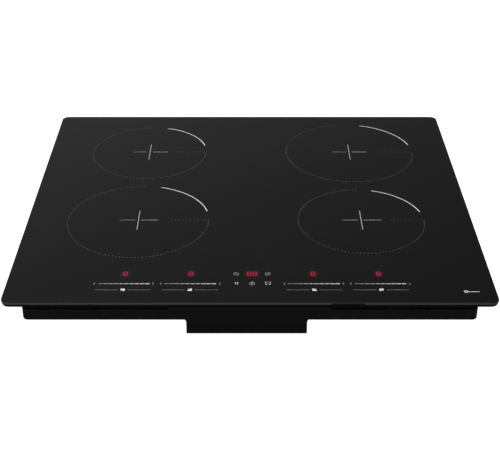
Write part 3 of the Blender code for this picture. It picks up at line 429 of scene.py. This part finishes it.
def lit_finish(name, tone, strength):
    """A lit segment, a little uneven."""
    known = bpy.data.materials.get(name)
    if known:
        return known
    finish, shader, add = blank(name)
    links = shader.id_data.links
    coords = add("ShaderNodeTexCoord").outputs["Object"]
    grain = noise(add, coords, 800.0, 2.0)
    faint = tuple(0.75 * c for c in tone)
    links.new(blend_colours(add, grain, faint, tone), shader.inputs["Emission Color"])
    shader.inputs["Emission Strength"].default_value = strength
    shader.inputs["Base Color"].default_value = (0.02, 0.002, 0.003, 1)
    shader.inputs["Roughness"].default_value = 0.3
    return finish


SLOT_FINISHES = {
    "seal_foam": dict(dark=(0.001,) * 3, light=(0.004,) * 3, grain=900.0, pattern="cells",
                      rough=(0.8, 0.95), relief=0.6, depth=0.3 * MM, specular=0.03),
    "silicone": dict(dark=(0.012,) * 3, light=(0.02,) * 3, grain=120.0, rough=(0.35, 0.5)),
    "case_paint": dict(dark=(0.0055,) * 3, light=(0.0095,) * 3, grain=650.0,
                       rough=(0.45, 0.58), relief=0.5, depth=0.06 * MM, specular=0.11),
    "sump_plastic": dict(dark=(0.006,) * 3, light=(0.0105,) * 3, grain=420.0,
                         rough=(0.42, 0.56), relief=0.35, depth=0.05 * MM, specular=0.11),
    "screw_steel": dict(dark=(0.42, 0.42, 0.4), light=(0.62, 0.62, 0.6), grain=500.0,
                        rough=(0.25, 0.4), metal=1.0),
    "shelf_aluminium": dict(dark=(0.62, 0.62, 0.63), light=(0.76, 0.76, 0.77), grain=90.0,
                            stretch=(14, 1, 1), rough=(0.28, 0.42), metal=1.0),
    "mica": dict(dark=(0.4, 0.33, 0.22), light=(0.62, 0.55, 0.42), grain=160.0,
                 pattern="cells", rough=(0.3, 0.55)),
    "board_green": dict(dark=(0.004, 0.03, 0.012), light=(0.01, 0.06, 0.024), grain=260.0,
                        pattern="cells", rough=(0.2, 0.35), relief=0.1),
    "sink_aluminium": dict(dark=(0.58, 0.58, 0.6), light=(0.7, 0.7, 0.71), grain=120.0,
                           stretch=(1, 12, 1), rough=(0.3, 0.45), metal=1.0),
    "carrier_plastic": dict(dark=(0.52, 0.5, 0.44), light=(0.63, 0.61, 0.55), grain=300.0,
                            rough=(0.5, 0.65)),
    "copper_wire": dict(dark=(0.4, 0.13, 0.05), light=(0.72, 0.32, 0.15), grain=900.0,
                        rough=(0.25, 0.4), metal=1.0, coat=0.4),
    "ferrite": dict(dark=(0.03,) * 3, light=(0.07,) * 3, grain=800.0, rough=(0.55, 0.75)),
    "sensor_white": dict(dark=(0.68, 0.67, 0.62), light=(0.78, 0.77, 0.73), grain=400.0,
                         rough=(0.3, 0.45)),
    "spring_steel": dict(dark=(0.4, 0.4, 0.4), light=(0.56, 0.56, 0.56), grain=500.0,
                         rough=(0.2, 0.35), metal=1.0),
    "fan_black": dict(dark=(0.011,) * 3, light=(0.018,) * 3, grain=350.0, rough=(0.4, 0.5)),
    "motor_steel": dict(dark=(0.36, 0.36, 0.37), light=(0.5, 0.5, 0.51), grain=80.0,
                        stretch=(1, 1, 30), rough=(0.3, 0.45), metal=1.0),
    "choke_green": dict(dark=(0.02, 0.1, 0.055), light=(0.04, 0.17, 0.1), grain=350.0,
                        rough=(0.35, 0.5)),
    "holder_plastic": dict(dark=(0.54,) * 3, light=(0.63,) * 3, grain=300.0,
                           rough=(0.45, 0.6)),
    "display_black": dict(dark=(0.006,) * 3, light=(0.013,) * 3, grain=200.0,
                          rough=(0.12, 0.22), relief=0.05),
    "terminal_plastic": dict(dark=(0.009,) * 3, light=(0.015,) * 3, grain=380.0,
                             rough=(0.45, 0.6), specular=0.3),
    "block_plastic": dict(dark=(0.62, 0.62, 0.6), light=(0.73, 0.73, 0.71), grain=260.0,
                          rough=(0.4, 0.55)),
    "gland_rubber": dict(dark=(0.007,) * 3, light=(0.013,) * 3, grain=300.0,
                         rough=(0.6, 0.75), specular=0.25),
    "clip_steel": dict(dark=(0.42, 0.42, 0.43), light=(0.6, 0.6, 0.61), grain=120.0,
                       stretch=(1, 1, 14), rough=(0.22, 0.38), metal=1.0),
}


def slot_finish(slot):
    """The finish of one of the record's material slots."""
    if slot == "glass_black":
        return glass_finish("glass_black_finish")
    return textured(slot + "_finish", **SLOT_FINISHES[slot])


# ---- places that the frame gives ---------------------------------------------------------------


def centre_of(node):
    """Middle of a CAD node's box."""
    low, high = (Vector(p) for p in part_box(node))
    return (low + high) / 2


def zone_ring(zone):
    """A cooking zone's middle and the radius of its printed ring."""
    low, high = (Vector(p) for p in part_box("coil_carrier_" + zone))
    radius = (high.x - low.x) / 2 + bpy.context.scene.cooktop_print.ring_margin
    return (low + high) / 2, radius


def slider_places():
    """Middle of each slider, left to right, with the zone that it sets."""
    displays = [centre_of("display_module_" + side).x for side in ("left", "right")]
    xs = [x + side * SLIDER_SPREAD for x in displays for side in (-1, 1)]
    return list(zip(xs, ("front_left", "rear_left", "rear_right", "front_right")))


def glass_top():
    """Height of the glass's upper face."""
    return Vector(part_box("glass_plate")[1]).z


def middle_x():
    """Middle of the touch controls."""
    return centre_of("display_module_centre").x


# ---- operators ---------------------------------------------------------------------------------


class COOKTOP_OT_glass(bpy.types.Operator):
    """Black glass plate with round corners and a ground edge"""

    bl_idname = "cooktop.glass"
    bl_label = "Glass Plate"

    def execute(self, context):
        look = context.scene.cooktop_glass
        low, high = (Vector(p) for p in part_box("glass_plate"))
        bm = bmesh.new()
        rounded_plate(bm, low, high, look.corner, look.edge, look.under)
        bm.normal_update()
        for face in bm.faces:
            # Faces turned down, the lower chamfer and the underside, take a near-black matte: the
            # underside's print, and painted shade on the chamfer
            if face.normal.z < 0.9:
                face.material_index = 1 if face.normal.z > -0.1 else 2
        finishes = (
            glass_finish("glass_black_finish"),
            textured("ground_edge", (0.031,) * 3, (0.049,) * 3, grain=300.0, rough=(0.35, 0.5),
                     relief=0.15, specular=0.4),
            textured("under_print_and_painted_shade", (0.0015,) * 3, (0.003,) * 3, grain=500.0, rough=(0.6, 0.75),
                     relief=0.2, specular=0.04),
        )
        piece("glass_top", bm, finishes, replaces=["glass_plate"], smooth=12.0)
        return {"FINISHED"}


class COOKTOP_OT_rings(bpy.types.Operator):
    """Solid arc and dotted ring printed round each cooking zone"""

    bl_idname = "cooktop.rings"
    bl_label = "Zone Rings"

    def execute(self, context):
        look = context.scene.cooktop_print
        z, film = glass_top(), look.film
        for zone in ZONES:
            middle, radius = zone_ring(zone)
            arc = bmesh.new()
            start, end = math.radians(15.0), math.radians(75.2)
            sweep = end - start
            band(arc, middle.x, middle.y, z, radius, look.arc_width, film, start, sweep)
            piece("ring_arc_" + zone, arc, print_finish("print_white", look.white))
            dots = bmesh.new()
            first, dotted = math.radians(90.0), math.radians(270.0)
            count = round(dotted * radius / look.dot_pitch)
            for i in range(count + 1):
                angle = first + dotted * i / count
                x = middle.x + radius * math.cos(angle)
                y = middle.y + radius * math.sin(angle)
                disc(dots, x, y, z, look.dot, film)
            reach = radius * (1 - look.row_start)
            row = round(reach / look.dot_pitch)
            small = 0.92 * look.dot
            for i in range(1, row + 1):
                disc(dots, middle.x + radius - reach * i / row, middle.y, z, small, film)
            piece("ring_dots_" + zone, dots, print_finish("print_grey", look.grey))
        return {"FINISHED"}


class COOKTOP_OT_crosses(bpy.types.Operator):
    """Cross in the middle of each cooking zone, with a plain row of strokes on its right"""

    bl_idname = "cooktop.crosses"
    bl_label = "Zone Crosses"

    def execute(self, context):
        look = context.scene.cooktop_print
        z, film, half = glass_top(), look.film, look.cross
        clear = 4.5 * MM                # from the upright to the bar on its left
        strokes, pitch, first = 12, 1.9 * MM, 4.8 * MM
        wide, short, long = 0.75 * MM, 1.6 * MM, 2.1 * MM
        for zone in ZONES:
            middle, _ = zone_ring(zone)
            x, y = middle.x, middle.y
            bm = bmesh.new()
            slab(bm, x, y, z, look.line, 2 * half, film)
            left = half - clear
            slab(bm, x - half + left / 2, y, z, left, 0.6 * look.line, film)
            for i in range(strokes):
                tall = short if i % 3 else long
                slab(bm, x + first + i * pitch, y, z, wide, tall, film)
            piece("zone_cross_" + zone, bm, print_finish("print_pale", look.pale))
        return {"FINISHED"}


class COOKTOP_OT_sliders(bpy.types.Operator):
    """Power sliders: ten steps that grow thicker, arrow heads, and a line below with a zone mark"""

    bl_idname = "cooktop.sliders"
    bl_label = "Sliders"

    def execute(self, context):
        look = context.scene.cooktop_print
        z, film = glass_top(), look.film
        y = centre_of("display_module_left").y - SLIDER_DROP
        bars, lines, marks = bmesh.new(), bmesh.new(), bmesh.new()
        pitch, gap = 6.36 * MM, 1.1 * MM
        thin, growth = 0.55 * MM, 1.5 * MM
        tip_out, back_out, arrow, thread = 36.4 * MM, 34.7 * MM, 2.6 * MM, 0.34 * MM
        line_out, line_drop, line_size = 19.6 * MM, 13.4 * MM, (27.6 * MM, 0.37 * MM)
        mark_out, mark_rise, mark_drop = 1.3 * MM, 1.2 * MM, 13.1 * MM
        mark_size, mark_ring = (2.5 * MM, 2.25 * MM), (1.0 * MM, 0.3 * MM)
        last = look.steps - 1
        for x, zone in slider_places():
            first = x - pitch * last / 2
            for i in range(look.steps):
                slab(bars, first + i * pitch, y, z, pitch - gap, thin + growth * i / last, film)
            for side in (-1, 1):
                for rise in (-1, 1):
                    end = (x + side * back_out, y + rise * arrow, z)
                    stroke(bars, (x + side * tip_out, y, z), end, z, thread, film)
                slab(lines, x + side * line_out, y - line_drop, z, *line_size, film)
                for rise in (-1, 1):
                    spot = (x + side * mark_out, y - mark_drop + rise * mark_rise)
                    if zone == ("rear_" if rise > 0 else "front_") + ("left", "right")[side > 0]:
                        band(marks, *spot, z, *mark_ring, film, steps=16)
                    else:
                        slab(marks, *spot, z, *mark_size, film)
        piece("slider_bars", bars, print_finish("print_pale", look.pale))
        piece("slider_lines", lines, print_finish("print_grey", look.grey))
        piece("slider_zone_marks", marks, print_finish("print_white", look.white))
        return {"FINISHED"}


class COOKTOP_OT_keys(bpy.types.Operator):
    """Pictograms of the middle keys: two clocks, pause, power and linked zones"""

    bl_idname = "cooktop.keys"
    bl_label = "Key Pictograms"

    def execute(self, context):
        look = context.scene.cooktop_print
        z, film = glass_top(), look.film
        centre = centre_of("display_module_centre")
        bm = bmesh.new()
        upper, lower = centre.y - 0.5 * MM, centre.y - 21.2 * MM
        pause, linked = centre.x - 18.7 * MM, centre.x + 19.3 * MM
        minutes, hours, hand = 1.9 * MM, 1.3 * MM, 0.35 * MM
        for side in (-1, 1):
            x = centre.x + side * KEY_SPREAD
            band(bm, x, upper, z, 2.9 * MM, 0.42 * MM, film)
            stroke(bm, (x, upper, z), (x, upper + minutes, z), z, hand, film)
            stroke(bm, (x, upper, z), (x + hours, upper, z), z, hand, film)
            slab(bm, pause + side * 1.3 * MM, lower, z, 1.2 * MM, 4.8 * MM, film)
        start, sweep = math.radians(130), math.radians(280)
        band(bm, centre.x, lower - 0.4 * MM, z, 3.0 * MM, 0.5 * MM, film, start, sweep, 20)
        slab(bm, centre.x, lower + 1.3 * MM, z, 1.0 * MM, 4.6 * MM, film)
        slab(bm, linked, lower + 2.6 * MM, z, 7.0 * MM, 0.55 * MM, film)
        for side in (-1, 1):
            slab(bm, linked + side * 3.2 * MM, lower + 1.1 * MM, z, 0.5 * MM, 2.4 * MM, film)
            slab(bm, linked + side * 2.0 * MM, lower - 2.0 * MM, z, 2.1 * MM, 1.9 * MM, film)
        piece("key_pictograms", bm, print_finish("print_pale", look.pale))
        return {"FINISHED"}


class COOKTOP_OT_digits(bpy.types.Operator):
    """Lit seven-segment digits with the faint glow of their windows"""

    bl_idname = "cooktop.digits"
    bl_label = "Lit Digits"

    def execute(self, context):
        look = context.scene.cooktop_print
        z, film = glass_top(), look.film
        y = centre_of("display_module_left").y - 0.4 * MM
        wide, tall, thick = 4.6 * MM, 8.4 * MM, 0.6 * MM
        across, along = wide - 1.3 * thick, tall / 2 - 1.3 * thick
        apart = 3.6 * MM                # middle digits to the left and right
        groups = [[x] for x, _ in slider_places()]
        groups.append([middle_x() - apart, middle_x() + apart])
        reach, drop, fade = 1.5 * wide, 1.1 * tall, 1.3
        lit, glow = bmesh.new(), bmesh.new()
        amount = glow.verts.layers.float.new("glow")
        for xs in groups:
            for x in xs:
                for rise in (-1, 0, 1):
                    slab(lit, x, y + rise * tall / 2, z + film, across, thick, film)
                for side in (-1, 1):
                    for rise in (-1, 1):
                        spot = (x + side * wide / 2, y + rise * tall / 4)
                        slab(lit, *spot, z + film, thick, along, film)
            middle = sum(xs) / len(xs)
            half = (xs[-1] - xs[0]) / 2 + reach
            window = bmesh.ops.create_grid(
                glow, x_segments=10 * len(xs), y_segments=12, size=1.0,
                matrix=place(middle, y, z + film / 2, 0.0, (half, drop, 1)),
            )["verts"]
            for v in window:
                off = min(math.hypot((v.co.x - x) / reach, (v.co.y - y) / drop) for x in xs)
                v[amount] = max(0.0, 1.0 - off) ** fade
        piece("lit_digits", lit, lit_finish("digit_red", look.red, look.lit))
        piece("digit_windows", glow, glass_finish("glass_glow", glow="glow"))
        return {"FINISHED"}


class COOKTOP_OT_screws(bpy.types.Operator):
    """Domed screws with a six-lobed drive under the tray and in the terminal block"""

    bl_idname = "cooktop.screws"
    bl_label = "Screws"

    def execute(self, context):
        look = context.scene.cooktop_inner
        steel = slot_finish("screw_steel")
        for corner in ZONES:
            node = "tray_screw_" + corner
            low, high = (Vector(p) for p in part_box(node))
            x, y = (low.x + high.x) / 2, (low.y + high.y) / 2
            bm = bmesh.new()
            radius = (high.x - low.x) / 2
            screw(bm, x, y, low.z, look.head, high.z - low.z, radius, 0.48 * radius, look.drive)
            piece("tray_screw_domed_" + corner, bm, steel, replaces=[node])
        low, high = (Vector(p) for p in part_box("terminal_block"))
        poles, pitch, sunk = 5, 8.6 * MM, 1.2 * MM
        head, reach, radius, shank, drive = 1.4 * MM, 4.4 * MM, 1.75 * MM, 1.1 * MM, 0.85 * MM
        bm = bmesh.new()
        for i in range(poles):
            x = (low.x + high.x) / 2 + (i - (poles - 1) / 2) * pitch
            y = low.y + (high.y - low.y) / 4
            screw(bm, x, y, low.z + sunk, head, reach, radius, shank, drive)
        piece("terminal_screws", bm, steel)
        return {"FINISHED"}


class COOKTOP_OT_windings(bpy.types.Operator):
    """Flat spirals of stranded wire, drawn as half turns about two middles"""

    bl_idname = "cooktop.windings"
    bl_label = "Coil Windings"

    def execute(self, context):
        look = context.scene.cooktop_inner
        for zone in ZONES:
            node = "coil_winding_" + zone
            low, high = (Vector(p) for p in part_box(node))
            middle, outer = (low + high) / 2, (high.x - low.x) / 2
            turns = round((outer - look.eye) / look.litz)
            pitch = (outer - look.eye) / turns
            wire = Matrix.Diagonal((0.47 * pitch, 0.48 * (high.z - low.z), 1, 1))
            centres = {side: middle - Vector((side * pitch / 4, 0, 0)) for side in (-1, 1)}
            bm, held = bmesh.new(), bpy.data.meshes.new("half_turn")
            for half in range(2 * (turns - 1)):
                side = -1 if half % 2 else 1
                start = middle + Vector((side * (look.eye + (half + 1) * pitch / 2), 0, 0))
                turn = bmesh.new()
                ring = wire_ring(turn, start, 1.0, wire)
                bmesh.ops.spin(
                    turn, geom=ring + turn.edges[:], cent=centres[side], axis=(0, 0, 1),
                    angle=math.pi, steps=26, use_merge=False)
                turn.to_mesh(held)
                turn.free()
                bm.from_mesh(held)
            bpy.data.meshes.remove(held)
            bmesh.ops.remove_doubles(bm, verts=bm.verts, dist=0.01 * MM)
            close_ends(bm)
            piece("litz_winding_" + zone, bm, slot_finish("copper_wire"), body="coil_set_" + zone,
                  replaces=[node], smooth=60.0)
        return {"FINISHED"}


class COOKTOP_OT_springs(bpy.types.Operator):
    """Round wire springs under the coils"""

    bl_idname = "cooktop.springs"
    bl_label = "Coil Springs"

    def execute(self, context):
        look = context.scene.cooktop_inner
        wire = look.spring_wire / 2
        for zone in ZONES:
            node = "coil_spring_" + zone
            low, high = (Vector(p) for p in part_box(node))
            middle, tall = centre_of("coil_carrier_" + zone), high.z - low.z
            start = Vector((high.x - wire, middle.y, low.z + wire))
            bm = bmesh.new()
            last = wire_ring(bm, start, wire) + bm.edges[:]
            for turns, rise in ((0.5, 0.0), (look.spring_turns, tall - 2 * wire), (0.5, 0.0)):
                steps = round(CIRCLE_STEPS * turns)
                last = bmesh.ops.spin(
                    bm, geom=last, cent=middle, axis=(0, 0, 1), angle=FULL_TURN * turns,
                    dvec=(0, 0, rise / steps), steps=steps, use_merge=False)["geom_last"]
            close_ends(bm)
            made = piece("spring_wire_" + zone, bm, slot_finish("spring_steel"),
                         replaces=[node], smooth=60.0)
            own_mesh(made)
        return {"FINISHED"}


class COOKTOP_OT_electronics(bpy.types.Operator):
    """Parts on the boards: capacitors, relays, chips, sockets, the choke's wire and touch pads"""

    bl_idname = "cooktop.electronics"
    bl_label = "Electronics"

    def execute(self, context):
        look = context.scene.cooktop_inner
        tall = look.part_tall
        finishes = [
            textured("part_black", (0.01,) * 3, (0.02,) * 3, grain=500.0, rough=(0.35, 0.5)),
            textured("part_yellow", (0.45, 0.3, 0.04), (0.6, 0.42, 0.08), grain=300.0),
            textured("part_white", (0.6,) * 3, (0.72,) * 3, grain=300.0),
            textured("part_tin", (0.5,) * 3, (0.68,) * 3, grain=600.0, rough=(0.2, 0.35),
                     metal=1.0),
        ]
        black, yellow, white, tin = range(len(finishes))
        for side, name in ((-1, "left"), (1, "right")):
            low, high = (Vector(p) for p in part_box("power_board_" + name))
            x, z = (low.x + high.x) / 2, high.z
            bm = bmesh.new()
            film_x, relay_x, can_x, chip_x, plug_x = (
                x + side * out * MM for out in (-58, -26, 4, 34, 64))
            for i in range(3):
                row = high.y - (24 + 23 * i) * MM
                block(bm, film_x, row, z, 26 * MM, 18 * MM, tall, yellow)
                block(bm, relay_x, row, z, 20 * MM, 15 * MM, tall, black)
                can(bm, can_x, row, z, 7.5 * MM, tall, black)
                block(bm, chip_x, row, z, 9 * MM, 7 * MM, 1.6 * MM, black)
                for edge in (4.6 * MM, -4.6 * MM):
                    for leg in range(4):
                        spot = (chip_x + (leg - 1.5) * 2.0 * MM, row + edge)
                        block(bm, *spot, z, 0.6 * MM, 1.8 * MM, 0.5 * MM, tin)
                block(bm, plug_x, row, z, 8 * MM, 18 * MM, tall, white)
                for pin in range(5):
                    spot = (plug_x, row + (pin - 2) * 3.2 * MM)
                    block(bm, *spot, z + tall, 1.0 * MM, 1.0 * MM, 0.6 * MM, tin)
            columns = 12
            for i in range(2 * columns):
                spot = (x + (i % columns - (columns - 1) / 2) * 6 * MM,
                        high.y - (92 + 5 * (i // columns)) * MM)
                block(bm, *spot, z, 3.2 * MM, 1.6 * MM, 0.7 * MM, black if i % 3 else white)
            piece("power_parts_" + name, bm, finishes)

        low, high = (Vector(p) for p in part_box("filter_board"))
        x, z = (low.x + high.x) / 2, high.z
        front, back, middle_y = low.y + 20 * MM, high.y - 22 * MM, (low.y + high.y) / 2
        bm = bmesh.new()
        for side in (-1, 1):
            outer = x + side * 30 * MM
            block(bm, outer, back, z, 26 * MM, 14 * MM, 9 * MM, yellow)
            block(bm, outer, front, z, 18 * MM, 13 * MM, 10 * MM, black)
            can(bm, x + side * 32 * MM, middle_y, z, 7 * MM, 9 * MM, black)
            can(bm, x + side * 8 * MM, front, z, 4.5 * MM, 8 * MM, yellow)
        block(bm, x, high.y - 14 * MM, z, 22 * MM, 9 * MM, 8 * MM, white)
        piece("filter_parts", bm, finishes)

        low, high = (Vector(p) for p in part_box("filter_choke"))
        middle, hole = (low + high) / 2, 6.5 * MM
        core = ((high.x - low.x) / 2 + hole) / 2
        across = math.sqrt(2) * ((high.x - low.x) / 2 - hole) / 2 + look.wire / 2
        rise = math.sqrt(2) * (high.z - low.z) / 2
        bm = bmesh.new()
        for i in range(2 * look.turns):
            half, step = divmod(i, look.turns)
            angle = math.pi * half + math.pi * (step + 1.5) / (look.turns + 2)
            ring = wire_ring(bm, (across, 0, 0), look.wire / 2, sides=6)
            others = set(bm.verts) - set(ring)
            geom = ring + list({e for v in ring for e in v.link_edges})
            bmesh.ops.spin(bm, geom=geom, cent=(0, 0, 0), axis=(0, 0, 1), angle=FULL_TURN,
                           steps=18, use_merge=True)
            loop = [v for v in bm.verts if v not in others]
            turn = (Matrix.Translation(middle) @ Matrix.Rotation(angle, 4, "Z")
                    @ Matrix.Translation((core, 0, 0)) @ UPRIGHT
                    @ Matrix.Diagonal((1, rise / across, 1, 1)))
            bmesh.ops.transform(bm, matrix=turn, verts=loop)
        piece("choke_wire", bm, slot_finish("copper_wire"), smooth=60.0)

        top = Vector(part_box("control_board")[1]).z
        bm = bmesh.new()
        y = centre_of("display_module_left").y - SLIDER_DROP
        pads, pitch, pad_tall = 9, 7 * MM, 5.6 * MM
        for x, _ in slider_places():
            for i in range(pads):
                can(bm, x + (i - (pads - 1) / 2) * pitch, y, top, 2.6 * MM, pad_tall)
        for i in (-1, 0, 1):
            can(bm, middle_x() + i * KEY_SPREAD, y + 0.6 * MM, top, 3.2 * MM, pad_tall)
        piece("touch_pads", bm, textured("pad_foam", (0.02,) * 3, (0.05,) * 3, grain=900.0,
                                         pattern="cells", rough=(0.8, 0.95)))
        return {"FINISHED"}


class COOKTOP_OT_mark(bpy.types.Operator):
    """Plain ring and bar near the front right corner, and a painted dark reflection: a dark strip
    on the front edge where the edge's highlight breaks
    """

    bl_idname = "cooktop.mark"
    bl_label = "Corner Mark and Painted Dark Reflection"

    def execute(self, context):
        look = context.scene.cooktop_print
        z, film = glass_top(), look.film
        low, high = (Vector(p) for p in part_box("glass_plate"))
        x, y = high.x - 36.6 * MM, low.y + 24.4 * MM
        bm = bmesh.new()
        band(bm, x, y, z, 1.95 * MM, 1.7 * MM, film)
        slab(bm, x + 9.4 * MM, y - 0.3 * MM, z, 13.4 * MM, 1.3 * MM, film)
        piece("corner_mark", bm, print_finish("print_pale", look.pale))
        # Painted dark reflection: a matte dark sheet over the front edge that breaks the edge's
        # highlight
        edge = bmesh.new()
        upper, lower = high.z - 0.1 * MM, low.z + 1.4 * MM
        strip_x, strip_long = middle_x() + 113 * MM, 40 * MM
        where = place(strip_x, low.y - film / 2, (upper + lower) / 2,
                      size=(strip_long, film, upper - lower))
        bmesh.ops.create_cube(edge, size=1.0, matrix=where)
        through = [e for e in edge.edges if abs(e.verts[0].co.y - e.verts[1].co.y) > film / 2]
        soften(edge, through, 1.0 * MM, 4)
        piece("painted_dark_reflection", edge, textured(
            "painted_dark_reflection_finish", (0.006,) * 3, (0.0105,) * 3, grain=500.0, rough=(0.6, 0.75),
            relief=0.2, specular=0.12))
        return {"FINISHED"}


class COOKTOP_OT_finishes(bpy.types.Operator):
    """Procedural finish on every CAD node, chosen by its material slot"""

    bl_idname = "cooktop.finishes"
    bl_label = "Finishes"

    def execute(self, context):
        for part in frame["record"]["subparts"]:
            mesh = frame["nodes"][part["node"]].data
            finish = slot_finish(part["material_slot"])
            for i in range(max(1, len(mesh.materials))):
                if i < len(mesh.materials):
                    mesh.materials[i] = finish
                else:
                    mesh.materials.append(finish)
        return {"FINISHED"}


class COOKTOP_OT_stage(bpy.types.Operator):
    """Pale floor, soft studio light and the camera"""

    bl_idname = "cooktop.stage"
    bl_label = "Stage"

    def execute(self, context):
        scene, look = context.scene, context.scene.cooktop_stage
        scene.view_settings.view_transform = "Standard"
        seen_white, floor_z = 1.0, CAD_LOW[2] - 0.3 * MM
        room_half, table_half = (20.0, 20.0), (0.272, 0.242)
        for name, half, z, glow in (
            ("floor", room_half, floor_z, 0.0),
            ("light_table", table_half, floor_z + 0.1 * MM, look.table),
        ):
            bm = bmesh.new()
            bmesh.ops.create_grid(bm, x_segments=2, y_segments=2, size=1.0,
                                  matrix=place(0, 0, z, 0.0, (*half, 1)))
            mesh = bpy.data.meshes.new(name)
            bm.to_mesh(mesh)
            bm.free()
            finish, shader, add = blank(name + "_finish")
            shader.inputs["Base Color"].default_value = (*look.floor, 1)
            shader.inputs["Roughness"].default_value = 0.9
            shader.inputs["Specular IOR Level"].default_value = 0.0
            shader.inputs["Emission Color"].default_value = (1, 1, 1, 1)
            seen = add("ShaderNodeLightPath").outputs["Is Camera Ray"]
            bright = between(add, seen, glow, seen_white)
            below = add("ShaderNodeNewGeometry").outputs["Backfacing"]
            clear = add("ShaderNodeBsdfTransparent").outputs[0]
            either = add("ShaderNodeMixShader", [(0, below), (1, shader.outputs[0]), (2, clear)])
            links, nodes = finish.node_tree.links, finish.node_tree.nodes
            links.new(bright, shader.inputs["Emission Strength"])
            output = next(node for node in nodes if node.type == "OUTPUT_MATERIAL")
            links.new(either.outputs[0], output.inputs["Surface"])
            mesh.materials.append(finish)
            plane = bpy.data.objects.new(name, mesh)
            scene.collection.objects.link(plane)

        for name, power, width, where, aim in (
            ("key_softbox", look.key, 2.4, (-0.3, -0.2, 2.3), (0, 0, 0)),
            ("fill_softbox", look.fill, 1.6, (0.5, -2.4, 0.9), (0, -0.2, 0)),
        ):
            light = bpy.data.lights.new(name, "AREA")
            light.energy, light.size = power, width
            lamp = bpy.data.objects.new(name, light)
            lamp.location = where
            lamp.rotation_euler = (Vector(aim) - Vector(where)).to_track_quat("-Z", "Y").to_euler()
            scene.collection.objects.link(lamp)

        world = bpy.data.worlds.new("studio")
        scene.world = world
        world.use_nodes = True
        tree = world.node_tree
        tree.nodes.clear()
        ways = tree.nodes.new("ShaderNodeTexCoord")
        split = tree.nodes.new("ShaderNodeSeparateXYZ")
        tree.links.new(ways.outputs["Generated"], split.inputs[0])
        across, rise = (tree.nodes.new("ShaderNodeMapRange") for _ in range(2))
        for node, way, ends in (
            (across, "X", (-0.35, 0.35, 0.27, 0.082)), (rise, "Z", (0.38, 0.6, 1.55, 0.78)),
        ):
            for key, value in zip(("From Min", "From Max", "To Min", "To Max"), ends):
                node.inputs[key].default_value = value
            tree.links.new(split.outputs[way], node.inputs["Value"])
        amount = tree.nodes.new("ShaderNodeMath")
        amount.operation = "MULTIPLY"
        tree.links.new(across.outputs[0], amount.inputs[0])
        tree.links.new(rise.outputs[0], amount.inputs[1])
        room, pale = (tree.nodes.new("ShaderNodeBackground") for _ in range(2))
        pale.inputs["Color"].default_value = (1, 1, 1, 1)
        tree.links.new(amount.outputs[0], room.inputs["Strength"])
        path = tree.nodes.new("ShaderNodeLightPath")
        either = tree.nodes.new("ShaderNodeMixShader")
        end = tree.nodes.new("ShaderNodeOutputWorld")
        tree.links.new(path.outputs["Is Camera Ray"], either.inputs[0])
        tree.links.new(room.outputs[0], either.inputs[1])
        tree.links.new(pale.outputs[0], either.inputs[2])
        tree.links.new(either.outputs[0], end.inputs[0])

        lens = bpy.data.cameras.new("camera")
        lens.sensor_width, lens.lens, lens.shift_x = 36.0, 78.48, 0.0045
        camera = bpy.data.objects.new("camera", lens)
        camera.location = (-0.0027, -1.3185, 0.7297 + glass_top())
        camera.rotation_euler = (math.radians(59.52), 0, 0)
        scene.collection.objects.link(camera)
        scene.camera = camera
        return {"FINISHED"}


class COOKTOP_PT_panel(bpy.types.Panel):
    """Lists the cooktop's pieces in the sidebar"""

    bl_idname = "COOKTOP_PT_panel"
    bl_label = "Induction Cooktop"
    bl_space_type = "VIEW_3D"
    bl_region_type = "UI"
    bl_category = "Cooktop"

    def draw(self, context):
        for operator in OPERATORS:
            self.layout.operator(operator.bl_idname)
        scene = context.scene
        for group in (scene.cooktop_glass, scene.cooktop_print, scene.cooktop_inner,
                      scene.cooktop_stage):
            for key in group.__annotations__:
                self.layout.prop(group, key)


OPERATORS = (
    COOKTOP_OT_finishes,
    COOKTOP_OT_glass,
    COOKTOP_OT_rings,
    COOKTOP_OT_crosses,
    COOKTOP_OT_sliders,
    COOKTOP_OT_keys,
    COOKTOP_OT_digits,
    COOKTOP_OT_mark,
    COOKTOP_OT_screws,
    COOKTOP_OT_windings,
    COOKTOP_OT_springs,
    COOKTOP_OT_electronics,
    COOKTOP_OT_stage,
)
GROUPS = (CooktopGlass, CooktopPrint, CooktopInner, CooktopStage)


def register():
    """Registers the classes and the scene's settings."""
    for cls in (*GROUPS, *OPERATORS, COOKTOP_PT_panel):
        bpy.utils.register_class(cls)
    bpy.types.Scene.cooktop_glass = PointerProperty(type=CooktopGlass)
    bpy.types.Scene.cooktop_print = PointerProperty(type=CooktopPrint)
    bpy.types.Scene.cooktop_inner = PointerProperty(type=CooktopInner)
    bpy.types.Scene.cooktop_stage = PointerProperty(type=CooktopStage)


def unregister():
    """Removes the settings and the classes."""
    del bpy.types.Scene.cooktop_stage, bpy.types.Scene.cooktop_inner
    del bpy.types.Scene.cooktop_print, bpy.types.Scene.cooktop_glass
    for cls in (COOKTOP_PT_panel, *reversed(OPERATORS), *reversed(GROUPS)):
        bpy.utils.unregister_class(cls)


def main():
    """Builds the whole cooktop."""
    register()
    bpy.ops.cooktop.finishes()
    bpy.ops.cooktop.glass()
    bpy.ops.cooktop.rings()
    bpy.ops.cooktop.crosses()
    bpy.ops.cooktop.sliders()
    bpy.ops.cooktop.keys()
    bpy.ops.cooktop.digits()
    bpy.ops.cooktop.mark()
    bpy.ops.cooktop.screws()
    bpy.ops.cooktop.windings()
    bpy.ops.cooktop.springs()
    bpy.ops.cooktop.electronics()
    bpy.ops.cooktop.stage()


if __name__ == "__main__":
    main()
